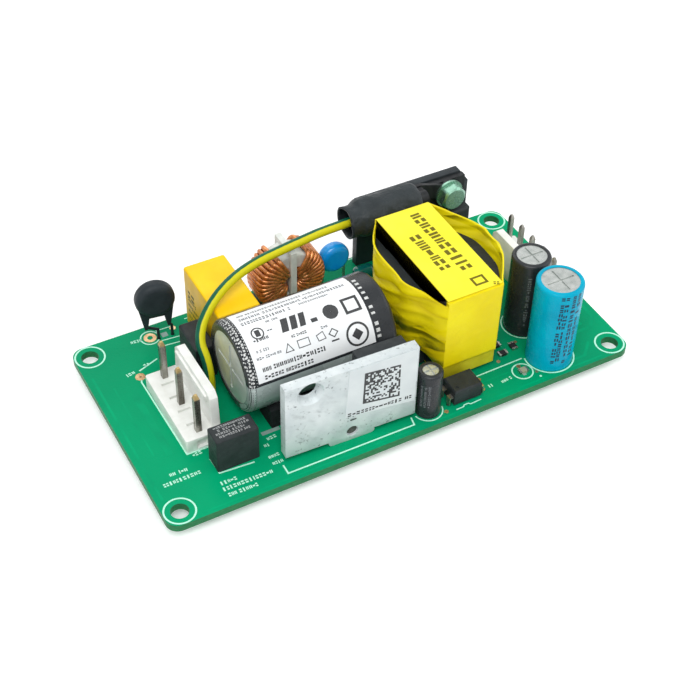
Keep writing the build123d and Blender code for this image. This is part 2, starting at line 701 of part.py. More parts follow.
# Rear heatsink
rear_y1 = rear_plate_y + rear_plate_t
rear_outline = Plane.XZ * Polygon(
    (rear_plate_x0, top), (rear_plate_x1, top), (rear_plate_x1, top + rear_plate_top - rear_chamfer_z),
    (rear_plate_x1 - rear_chamfer_x, top + rear_plate_top), (rear_plate_x0, top + rear_plate_top), align=None)
rear = Pos(0, rear_plate_y, 0) * extrude(rear_outline, rear_plate_t, dir=(0, 1, 0))
for tab_x in (rear_plate_x0 + rear_tab_inset, rear_plate_x1 - rear_tab_inset):
    tab_y = (rear_plate_y + 0.2, rear_y1 - 0.2)
    rear += block(span(tab_x, rear_tab_w), tab_y, (-1.2, top + 0.5))
    slots.append(block(span(tab_x, rear_tab_w + 2 * lead_clearance),
                       (tab_y[0] - lead_clearance, tab_y[1] + lead_clearance), (-1, top + 1)))
screw_at_z = top + screw_z
rear -= bar_y(screw_x, rear_plate_y - 1, rear_y1 + 1, screw_at_z, screw_r + screw_clearance / 2)
nodes["rear_heatsink"] = rear

# Output rectifier, its tab flat on the heatsink
tab_y0 = rear_plate_y - rect_tab_t
tab_top = screw_at_z + rect_tab_margin
tab = block(span(screw_x, rect_w), (tab_y0, rear_plate_y), (top + rect_body_z, tab_top))
tab -= bar_y(screw_x, tab_y0 - 1, rear_plate_y + 1, screw_at_z, screw_r + screw_clearance)
nodes["output_rectifier_tab"] = tab
body_y0 = rear_plate_y - rect_t
rect_body = block(span(screw_x, rect_w), (body_y0, tab_y0), (top + rect_body_z, top + rect_body_z + rect_body_h))
rect_body = chamfer(rect_body.faces().sort_by(Axis.Y)[0].edges(), 0.35)
nodes["output_rectifier"] = rect_body
rect_legs = []
for i in (-1, 0, 1):
    leg_x = screw_x + i * rect_pitch
    leg_y = body_y0 + rect_lead_y
    leg = block(span(leg_x, rect_lead_w), span(leg_y, rect_lead_w * 0.8), (-lead_out, top + rect_body_z))
    rect_legs.append(pierce(leg_x, leg_y, rect_lead_w * 0.66, leg))
nodes["output_rectifier_leads"] = Compound(rect_legs)

# Ring terminal, washer and screw on the rectifier's tab
ring_y0 = tab_y0 - terminal_t
barrel_x1 = wire_end_x + terminal_barrel_l
sleeve_axis_z = top + sleeve_z
strip_x0 = sleeve_x1 + 0.2
strip = Plane.XZ * Polygon(
    (strip_x0, sleeve_axis_z - terminal_barrel_r), (strip_x0, sleeve_axis_z + terminal_barrel_r),
    (barrel_x1, sleeve_axis_z + terminal_barrel_r), (screw_x, screw_at_z + terminal_ring_r * 0.7),
    (screw_x, screw_at_z - terminal_ring_r * 0.7), (barrel_x1, sleeve_axis_z - terminal_barrel_r), align=None)
terminal = Pos(0, tab_y0, 0) * extrude(strip, terminal_t, dir=(0, -1, 0))
terminal += bar_y(screw_x, ring_y0, tab_y0, screw_at_z, terminal_ring_r)
terminal += bar_x(wire_end_x, barrel_x1, sleeve_y, sleeve_axis_z, terminal_barrel_r)
terminal += block((strip_x0, barrel_x1), (sleeve_y, tab_y0), span(sleeve_axis_z, terminal_barrel_r * 1.6))
terminal -= bar_y(screw_x, ring_y0 - 1, tab_y0 + 0.01, screw_at_z, screw_r + screw_clearance)
nodes["ring_terminal"] = terminal
washer = bar_y(screw_x, ring_y0 - washer_t, ring_y0, screw_at_z, washer_r)
washer -= bar_y(screw_x, ring_y0 - 2, ring_y0 + 0.01, screw_at_z, screw_r + screw_clearance)
nodes["rear_washer"] = washer
head_y = ring_y0 - washer_t
hexagon = RegularPolygon(screw_head_flats / math.sqrt(3), 6, rotation=14)
head = Pos(screw_x, head_y, screw_at_z) * Rot(90, 0, 0) * extrude(hexagon, screw_head_h)
head_cap = bar_y(screw_x, head_y - screw_head_h, head_y, screw_at_z, screw_head_flats / 2 * 1.1)
head &= chamfer(head_cap.edges().filter_by(GeomType.CIRCLE).sort_by(Axis.Y)[0], 0.5)
nodes["rear_screw"] = head + bar_y(screw_x, head_y, rear_y1 + 0.6, screw_at_z, screw_r)

# Ferrite bead and shrunk sleeve
ferrite_r = sleeve_r - sleeve_t - 0.05
ferrite_x0 = sleeve_x0 + sleeve_mouth_l + 1.4
ferrite = bar_x(ferrite_x0, ferrite_x0 + ferrite_l, sleeve_y, sleeve_axis_z, ferrite_r)
ferrite -= bar_x(ferrite_x0 - 1, ferrite_x0 + ferrite_l + 1, sleeve_y, sleeve_axis_z,
                 wire_d / 2 + ferrite_bore_clearance)
nodes["ferrite_bead"] = ferrite
neck_x = sleeve_x0 + sleeve_mouth_l
outline = [(sleeve_x0, sleeve_mouth_r), (neck_x, sleeve_mouth_r), (neck_x + 1.2, sleeve_r),
           (sleeve_x1 - 1.0, sleeve_r), (sleeve_x1, sleeve_r - 0.5)]
shrink_face = make_face(Polyline(*outline, *[(x, r - sleeve_t) for x, r in reversed(outline)], close=True))
sleeve = revolve(shrink_face, Axis.X)
nodes["heat_shrink_sleeve"] = Pos(0, sleeve_y, sleeve_axis_z) * sleeve

# Ground wire: from the terminal through the bead, over the choke and down to the board
wire_points = [
    (wire_end_x, sleeve_y, sleeve_axis_z),
    (4.6, sleeve_y, sleeve_axis_z),
    (-4.6, 15.7, 19.8),
    (-16.6, 14.0, 19.6),
    (-25.2, 10.2, 18.2),
    (-30.7, 6.6, 13.4),
    (-30.3, 2.2, 9.0),
    (-30.3, 2.2, top + wire_lead_top),
]


def tube_along(points, diameter):
    """A round cord along straight runs joined by tangent arcs."""
    runs = [Vector(*b) - Vector(*a) for a, b in zip(points, points[1:])]
    radii = []
    for first, second in zip(runs, runs[1:]):
        half_turn = math.radians(first.get_angle(second)) / 2
        radii.append(0.45 * min(first.length, second.length) / math.tan(half_turn))
    print("bend radii", [round(r, 2) for r in radii])
    path = FilletPolyline(*points, radius=radii)
    print("cord length", round(path.length, 2))
    return sweep(Plane(origin=path @ 0, z_dir=path % 0) * Circle(diameter / 2), path=path)


wire_foot = wire_points[-1]
nodes["ground_wire"] = tube_along(wire_points, wire_d)
nodes["ground_wire_lead"] = lead(wire_foot[0], wire_foot[1], wire_foot[2], wire_lead_r)


# Upright electrolytics: can with a scored top and leads, and a printed sleeve
def electrolytic(x, y, r, h, pitch):
    can_radius = r - cap_sleeve_t
    case = post(x, y, top, top + h, can_radius)
    case = fillet(case.edges().filter_by(GeomType.CIRCLE).sort_by(Axis.Z)[-1], 0.45)
    neck_z = top + cap_neck_z
    groove = post(x, y, neck_z - 0.4, neck_z + 0.4, r + 1) - post(x, y, neck_z - 0.4, neck_z + 0.4,
                                                                  can_radius - cap_neck_depth)
    case -= groove
    for turn in (0, 90):
        case -= Pos(x, y, top + h) * Rot(0, 0, turn) * Box(can_radius * 1.3, cap_score_w, 2 * cap_score_depth)
    pins = [lead(x + s * pitch / 2, y, top, cap_lead_r) for s in (-1, 1)]
    shell = post(x, y, top, top + h + cap_sleeve_t, r)
    shell = fillet(shell.edges().filter_by(GeomType.CIRCLE).sort_by(Axis.Z)[-1], 0.45 + cap_sleeve_t)
    plug = post(x, y, top - 1, top + h, can_radius)
    plug = fillet(plug.edges().filter_by(GeomType.CIRCLE).sort_by(Axis.Z)[-1], 0.45)
    shell = shell - plug - post(x, y, top, top + h + 1, can_radius - cap_lap)
    return fuse_all([case] + pins), shell


for name, values in (("output_capacitor_large", large_cap), ("output_capacitor_small", small_cap),
                     ("auxiliary_capacitor", aux_cap)):
    nodes[name + "_can"], nodes[name + "_sleeve"] = electrolytic(*values)

# Optocoupler
opto_z0 = top + opto_standoff
opto = block(span(opto_x, opto_w), span(opto_y, opto_l), (opto_z0, opto_z0 + opto_h))
opto = chamfer(opto.faces().sort_by(Axis.Z)[-1].edges(), opto_waist)
opto -= post(opto_x - opto_w / 2 + 1.0, opto_y - opto_l / 2 + 1.0, opto_z0 + opto_h - 0.15, opto_z0 + opto_h + 1, 0.4)
nodes["optocoupler"] = opto
opto_legs = []
shoulder_z = opto_z0 + opto_h * 0.5
for side in (-1, 1):
    for row in (-1, 1):
        leg_y = opto_y + row * opto_pitch / 2
        row_x = opto_x + side * opto_row / 2
        inner_x = opto_x + side * opto_w / 2
        outer_x = row_x + side * opto_lead_t / 2
        leg = block(sorted((inner_x, outer_x)), span(leg_y, 1.2), (shoulder_z - opto_lead_t, shoulder_z))
        leg += block(span(row_x, opto_lead_t), span(leg_y, 1.2), (top + 0.3, shoulder_z))
        leg += block(span(row_x, opto_lead_t), span(leg_y, opto_lead_w), (-lead_out, top + 0.3))
        opto_legs.append(pierce(row_x, leg_y, opto_lead_w * 0.56, leg))
nodes["optocoupler_leads"] = Compound(opto_legs)


# Chip components on both faces
def chip(x, y, turn, above):
    z0 = top if above else -chip_h
    place = Pos(x, y, z0) * Rot(0, 0, turn)
    bare = chip_l - 2 * chip_cap_l
    body = block(span(0, bare), span(0, chip_w), (0, chip_h))
    ends = [block(sorted((s * bare / 2, s * chip_l / 2)), span(0, chip_w), (0, chip_h)) for s in (-1, 1)]
    return place * body, [place * end for end in ends]


chip_bodies, chip_ends = [], []
for spots, above in ((chips_above, True), (chips_below, False)):
    for x, y, turn in spots:
        body, ends = chip(x, y, turn, above)
        chip_bodies.append(body)
        chip_ends += ends
lamp_body, lamp_ends = chip(lamp_x, lamp_y, 0, True)
nodes["chip_components"] = Compound(chip_bodies)
nodes["chip_terminals"] = Compound(chip_ends + lamp_ends)
nodes["indicator_lamp"] = lamp_body

# Control chip under the board
control = block(span(control_x, control_w), span(control_y, control_l), (-control_lift - control_h, -control_lift))
control = chamfer(control.faces().sort_by(Axis.Z)[0].edges(), 0.25)
for side in (-1, 1):
    for i in range(4):
        leg_y = control_y + (i - 1.5) * control_pitch
        knee = control_x + side * (control_w / 2 + 0.45)
        edge_x = control_x + side * control_w / 2
        mid_z = -control_lift - control_h / 2
        control += block(sorted((edge_x, knee)), span(leg_y, control_lead_w), (mid_z, mid_z + control_lead_t))
        control += block(sorted((knee, knee - side * control_lead_t)), span(leg_y, control_lead_w), (mid_z, 0))
        control += block(sorted((knee - side * control_lead_t, control_x + side * control_span / 2)),
                         span(leg_y, control_lead_w), (-control_lead_t, 0))
nodes["control_chip"] = control

# Board with every hole, and a solder cone round every lead
board = Pos(0, 0, board_t / 2) * Box(board_length, board_width, board_t)
board = fillet(board.edges().filter_by(Axis.Z), board_corner_r)
for sx in (-1, 1):
    for sy in (-1, 1):
        board -= post(sx * mount_pitch_x / 2, sy * mount_pitch_y / 2, -1, board_t + 1, mount_hole_r)
for x, y, r, metal in pierced:
    board -= post(x, y, -1, board_t + 1, r + lead_clearance)
for slot in slots:
    board -= slot
nodes["circuit_board"] = board
joints = []
for x, y, r, metal in pierced:
    joints.append(Pos(x, y, -joint_h / 2) * Cone(r + 0.15, r + joint_skirt, joint_h) - metal)
nodes["solder_joints"] = Compound(joints)

os.makedirs("parts", exist_ok=True)
for name, shape in nodes.items():
    solids = shape.solids()
    whole = solids[0] if len(solids) == 1 else Compound(solids)
    whole.label = name
    export_step(whole, os.path.join("parts", name + ".step"))
    box = whole.bounding_box()
    print(f"{name:32s} solids {len(solids):3d}  volume {whole.volume:9.2f}  "
          f"x {box.min.X:7.2f} {box.max.X:7.2f}  y {box.min.Y:7.2f} {box.max.Y:7.2f}  "
          f"z {box.min.Z:6.2f} {box.max.Z:6.2f}")
print(len(nodes), "nodes")
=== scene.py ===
"""Looks of an open-frame power supply on a 4 x 2 inch circuit board.

Sizes are in millimetres on the part's own frame and become metres where a mesh is made.
The frame's origin is the middle of the four mounting holes on the underside of the board.
"""

import logging
import math
import random
from collections.abc import Callable, Sequence
from dataclasses import dataclass, field
from enum import Enum
from typing import Any

import bmesh
import bpy
from mathutils import Matrix, Vector
from mathutils import noise as field_noise


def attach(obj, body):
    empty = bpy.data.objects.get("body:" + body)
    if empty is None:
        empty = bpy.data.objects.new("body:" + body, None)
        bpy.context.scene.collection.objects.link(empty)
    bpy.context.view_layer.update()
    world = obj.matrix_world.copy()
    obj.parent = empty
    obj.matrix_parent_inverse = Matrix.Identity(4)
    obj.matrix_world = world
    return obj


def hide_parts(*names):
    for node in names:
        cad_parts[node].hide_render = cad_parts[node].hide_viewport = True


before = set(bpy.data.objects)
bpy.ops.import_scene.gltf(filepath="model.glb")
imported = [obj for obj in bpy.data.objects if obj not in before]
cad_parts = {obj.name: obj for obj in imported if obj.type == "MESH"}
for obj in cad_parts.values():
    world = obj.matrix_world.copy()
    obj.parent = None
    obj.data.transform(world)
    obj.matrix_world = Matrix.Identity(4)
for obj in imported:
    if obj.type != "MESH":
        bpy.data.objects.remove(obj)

MM = 0.001
BOARD_TOP = 1.6
Shade = tuple[int, int, int]
Point = tuple[float, float, float]
Flat = tuple[float, float]
Signal = bpy.types.NodeSocket
log = logging.getLogger("power_supply")


def linear(shade: Shade) -> tuple[float, float, float, float]:
    """Turn a colour as it is seen on a screen into the renderer's numbers.

    Args:
        shade: red, green and blue from 0 to 255.

    Returns:
        Red, green, blue and full opacity, from 0 to 1.
    """

    def channel(value: float) -> float:
        """Undo the screen's curve for one channel."""
        value /= 255
        return value / 12.92 if value <= 0.04045 else ((value + 0.055) / 1.055) ** 2.4

    return (*(channel(v) for v in shade), 1.0)


def show(name: str, data: bpy.types.ID) -> bpy.types.Object:
    """Put an object into the scene.

    Args:
        name: the object's name.
        data: its mesh, curve, camera or light.

    Returns:
        The object.
    """
    obj = bpy.data.objects.new(name, data)
    bpy.context.scene.collection.objects.link(obj)
    return obj


class Net:
    """A node tree that is wired by short calls."""

    def __init__(self, tree: bpy.types.NodeTree) -> None:
        """Take a tree in hand.

        Args:
            tree: the tree that gets the nodes.
        """
        self.nodes, self.links = tree.nodes, tree.links

    def feed(self, node: bpy.types.Node, inputs: dict[str | int, Any]) -> None:
        """Join signals to some of a node's inputs and set others.

        Args:
            node: the node.
            inputs: a signal or a value for each socket, by its name or number.
        """
        for key, value in inputs.items():
            if isinstance(value, Signal):
                self.links.new(value, node.inputs[key])
            else:
                node.inputs[key].default_value = value

    def add(self, kind: str, inputs: dict[str | int, Any] | None = None, out: str | int = 0,
            **settings: Any) -> Signal:
        """Add a node.

        Args:
            kind: the node's type.
            inputs: a signal or a value for each socket, by its name or number.
            out: the output that is wanted, by its name or number.
            **settings: the node's own settings, such as its operation.

        Returns:
            The wanted output.
        """
        node = self.nodes.new(kind)
        for name, value in settings.items():
            setattr(node, name, value)
        self.feed(node, inputs or {})
        return node.outputs[out]

    def math(self, operation: str, *values: Signal | float, **settings: Any) -> Signal:
        """One sum on up to three signals or numbers."""
        return self.add("ShaderNodeMath", dict(enumerate(values)), operation=operation, **settings)


class Tree(Net):
    """A material's node tree, with short calls for what the finishes share."""

    def __init__(self, name: str) -> None:
        """Start a material with one surface shader.

        Args:
            name: the material's name.
        """
        self.material = bpy.data.materials.new(name)
        self.material.use_nodes = True
        super().__init__(self.material.node_tree)
        self.surface = self.nodes["Principled BSDF"]
        self.place = self.add("ShaderNodeTexCoord", out="Object")

    def set(self, **values: Signal | float | tuple) -> None:
        """Feed the surface shader's own sockets, with underscores for spaces."""
        self.feed(self.surface, {name.replace("_", " "): value for name, value in values.items()})

    def stretched(self, scale: Point, turn: Point = (0, 0, 0)) -> Signal:
        """The piece's own coordinates, turned and then scaled along the turned axes."""
        inputs = {"Vector": self.place, "Scale": tuple(1 / x for x in scale), "Rotation": turn}
        return self.add("ShaderNodeMapping", inputs, vector_type="TEXTURE")

    def noise(self, scale: float, detail: float = 3.0, place: Signal | None = None) -> Signal:
        """Cloudy noise from 0 to 1, with `scale` patches to the metre."""
        inputs = {"Scale": scale, "Detail": detail, "Vector": place or self.place}
        return self.add("ShaderNodeTexNoise", inputs)

    def spread(self, source: Signal, low: float, high: float, to_low: float = 0.0,
               to_high: float = 1.0) -> Signal:
        """Stretch the part of a signal between low and high over a new range."""
        return self.add("ShaderNodeMapRange", dict(enumerate((source, low, high, to_low, to_high))))

    def sum(self, first: Signal, second: Signal | float, share: float = 1.0) -> Signal:
        """first + share * second."""
        return self.math("MULTIPLY_ADD", second, share, first)

    def mix(self, factor: Signal, first: Signal | Shade, second: Signal | Shade) -> Signal:
        """The first colour where factor is 0 and the second where it is 1."""
        colours = [linear(c) if isinstance(c, tuple) else c for c in (first, second)]
        return self.add("ShaderNodeMix", {0: factor, 6: colours[0], 7: colours[1]}, out=2, data_type="RGBA")

    def folds(self, source: Signal, count: float) -> Signal:
        """A signal folded back and forth `count` times between 0 and 1, with sharp turns."""
        return self.math("PINGPONG", self.spread(source, 0.0, 1.0, 0.0, count), 1.0)

    def facing(self, axis: str) -> Signal:
        """How far the surface faces along an axis, from -1 to 1."""
        normal = self.add("ShaderNodeNewGeometry", out="Normal")
        return self.add("ShaderNodeSeparateXYZ", {0: normal}, out=axis)

    def along(self, axis: str) -> Signal:
        """The piece's own coordinate along an axis, in metres."""
        return self.add("ShaderNodeSeparateXYZ", {0: self.place}, out=axis)

    def bump(self, height: Signal, depth: float) -> None:
        """Relief on the surface, `depth` metres from the lowest to the highest point."""
        self.set(Normal=self.add("ShaderNodeBump", {"Distance": depth, "Height": height}))


@dataclass(frozen=True)
class Finish:
    """A finish whose colour wanders between two shades, with an uneven gloss and a grain."""

    name: str
    shade: Shade
    worn: Shade
    patches: float = 350.0
    rough: tuple[float, float] = (0.4, 0.55)
    metal: float = 0.0
    grain: float = 5000.0
    relief: float = 0.00002
    coat: float = 0.0
    stretch: Point = (1.0, 1.0, 1.0)
    mirror: float = 0.5

    def colour(self, tree: Tree) -> Signal:
        """The colour all over the surface."""
        cloud = tree.noise(self.patches, 5.0, tree.stretched(self.stretch))
        return tree.mix(tree.spread(cloud, 0.32, 0.68), self.shade, self.worn)

    def height(self, tree: Tree) -> Signal:
        """The relief, from 0 to 1."""
        return tree.noise(self.grain, 4.0, tree.stretched(self.stretch))

    def dress(self, tree: Tree) -> None:
        """Join colour, gloss and relief to the surface.

        Args:
            tree: the material's node tree.
        """
        smear = tree.noise(self.patches * 2.3, 4.0)
        tree.set(Metallic=self.metal, Specular_IOR_Level=self.mirror, Coat_Weight=self.coat,
                 Coat_Roughness=0.12, Base_Color=self.colour(tree),
                 Roughness=tree.spread(smear, 0.3, 0.7, *self.rough))
        tree.bump(self.height(tree), self.relief)

    def material(self) -> bpy.types.Material:
        """The finish as a material, made once, under a name that no CAD material has.

        Returns:
            The material.
        """
        found = bpy.data.materials.get("look_" + self.name)
        if found is None:
            tree = Tree("look_" + self.name)
            self.dress(tree)
            found = tree.material
        return found


@dataclass(frozen=True)
class SolderMask(Finish):
    """Green lacquer over the laminate, whose own colour shows on cut edges."""

    edge: Shade = (38, 112, 72)
    edge_worn: Shade = (62, 128, 84)

    def colour(self, tree: Tree) -> Signal:
        """Two greens on the faces, and fibres on the edges.

        Args:
            tree: the material's node tree.

        Returns:
            The colour.
        """
        green = tree.mix(tree.spread(tree.noise(self.patches, 4.0), 0.3, 0.7), self.shade, self.worn)
        fibres = tree.noise(2600.0, 2.0, tree.stretched((0.3, 0.3, 3.0)))
        cut = tree.mix(tree.spread(fibres, 0.35, 0.65), self.edge, self.edge_worn)
        face = tree.math("ABSOLUTE", tree.facing("Z"))
        return tree.mix(tree.spread(face, 0.4, 0.6), cut, green)

    def height(self, tree: Tree) -> Signal:
        """A fine weave under a flowed coat."""
        return tree.sum(tree.noise(1900.0, 2.0), tree.noise(350.0, 2.0), 1.5)


@dataclass(frozen=True)
class Insulation(Finish):
    """Wire insulation in two colours that run along the wire."""

    stripe: Shade = (212, 206, 26)
    turn: float = 0.0
    share: float = 0.42
    blur: float = 0.02

    def colour(self, tree: Tree) -> Signal:
        """One colour with a stripe of the other, by the angle round the wire.

        Args:
            tree: the material's node tree.

        Returns:
            The colour.
        """
        round_wire = tree.add("ShaderNodeSeparateXYZ", {0: tree.add("ShaderNodeUVMap")}, out="Y")
        wave = tree.math("PINGPONG", tree.sum(round_wire, self.turn), 0.5)
        edge = tree.sum(wave, tree.noise(900.0, 2.0), 0.03)
        striped = tree.spread(edge, self.share / 2, self.share / 2 + self.blur, 1.0, 0.0)
        return tree.mix(striped, tree.mix(tree.noise(self.patches), self.shade, self.worn), self.stripe)


@dataclass(frozen=True)
class ScuffedPlate(Finish):
    """Bare sheet metal with blotches, fine scratches and dark specks."""

    speck: Shade = (96, 106, 110)
    rub: Shade = (164, 172, 174)

    def colour(self, tree: Tree) -> Signal:
        """Blotches and specks over the metal.

        Args:
            tree: the material's node tree.

        Returns:
            The colour.
        """
        specks = tree.spread(tree.noise(1500.0, 6.0), 0.58, 0.7)
        fields = tree.spread(tree.noise(260.0, 3.0), 0.45, 0.62)
        streaks = tree.noise(420.0, 5.0, tree.stretched((0.7, 1.0, 1.6), (0.0, 0.6, 0.0)))
        rubbed = tree.mix(tree.spread(streaks, 0.56, 0.7, 0.0, 0.4), super().colour(tree), self.rub)
        return tree.mix(tree.math("MULTIPLY", specks, fields), rubbed, self.speck)

    def height(self, tree: Tree) -> Signal:
        """Long scratches under small dents."""
        scratches = tree.noise(900.0, 6.0, tree.stretched((0.15, 1.0, 6.0), (0.0, 0.5, 0.0)))
        return tree.sum(scratches, tree.noise(700.0, 5.0), 1.2)


@dataclass(frozen=True)
class TapeFilm(Finish):
    """Thin polyester tape, pulled tight over edges, with slack folds where it bridges a gap."""

    # Painted shade for the creases and for the slack tape low beside the coil.
    painted_shade: Shade = (196, 172, 10)

    def colour(self, tree: Tree) -> Signal:
        """Painted shade low beside the coil and along the creases, bright on the flat front.

        Args:
            tree: the material's node tree.

        Returns:
            The colour.
        """
        # Painted shade: darker low down, in patches and along the creases, where the tape bridges the gap
        # beside the coil.
        low_shade = tree.spread(tree.along("Z"), 0.011, 0.017, 1.0, 0.0)
        cloud = tree.math("MULTIPLY", tree.spread(tree.noise(120.0, 3.0), 0.3, 0.7, 0.0, 0.5), low_shade)
        crease_shade = tree.spread(self.creases(tree), 0.25, 0.0, 0.0, 0.6)
        shadow = tree.math("MULTIPLY", self.slack(tree), tree.sum(cloud, crease_shade))
        return tree.mix(shadow, super().colour(tree), self.painted_shade)

    @staticmethod
    def slack(tree: Tree) -> Signal:
        """1 where the tape bridges the gap beside the coil and 0 on the flat front."""
        return tree.spread(tree.facing("Y"), -0.95, -0.75)

    @staticmethod
    def creases(tree: Tree) -> Signal:
        """Fine creases that rise a little towards the front."""
        return tree.folds(tree.noise(115.0, 1.0, tree.stretched((0.6, 0.26, 1.6), (-0.38, 0.0, 0.0))), 7.0)

    def height(self, tree: Tree) -> Signal:
        """A lean inward below the rim, slack creases beside the coil and a fine wrinkle all over.

        Args:
            tree: the material's node tree.

        Returns:
            The relief.
        """
        lean = tree.spread(tree.along("Z"), 0.013, 0.022, 0.0, -6.0)
        creases = tree.math("MULTIPLY", tree.sum(self.creases(tree), lean), self.slack(tree))
        return tree.sum(creases, tree.noise(700.0, 3.0), 0.12)


@dataclass(frozen=True)
class PaintedSideShadeFinish(Finish):
    """A finish with painted shade where the surface turns down from the top, as on tape over a core."""

    # The side colours are painted shade for the faces that turn down from the top.
    side: Shade = (206, 188, 26)
    painted_side_shade_worn: Shade = (224, 208, 40)

    def colour(self, tree: Tree) -> Signal:
        """Bright on top, with painted shade on the sides.

        Args:
            tree: the material's node tree.

        Returns:
            The colour.
        """
        # Painted shade on the sides, blended in where the surface stops facing up.
        side = tree.mix(tree.spread(tree.noise(260.0, 4.0), 0.4, 0.65), self.side, self.painted_side_shade_worn)
        return tree.mix(tree.spread(tree.facing("Z"), 0.4, 0.8), side, super().colour(tree))


@dataclass(frozen=True)
class TippedPin(Finish):
    """A plated pin whose tip shows the brass below the plating."""

    tip: Shade = (168, 146, 98)
    tip_z: float = 0.0134
    blur: float = 0.0005

    def colour(self, tree: Tree) -> Signal:
        """Plating, with brass above a height in metres."""
        worn = tree.sum(tree.along("Z"), tree.noise(1500.0, 2.0), 0.0008)
        return tree.mix(tree.spread(worn, self.tip_z, self.tip_z + self.blur), super().colour(tree), self.tip)


@dataclass(frozen=True)
class WoundWire(Finish):
    """Enamelled copper wire, with darker enamel in streaks."""

    enamel: Shade = (255, 214, 176)

    def dress(self, tree: Tree) -> None:
        """Add a clear enamel over the metal."""
        super().dress(tree)
        tree.set(Coat_Weight=0.6, Coat_Roughness=0.1, Coat_Tint=linear(self.enamel))


@dataclass(frozen=True)
class ClearBody(Finish):
    """The clear body of a small lamp."""

    def dress(self, tree: Tree) -> None:
        """Let some light through."""
        super().dress(tree)
        tree.set(Transmission_Weight=0.55, IOR=1.5)


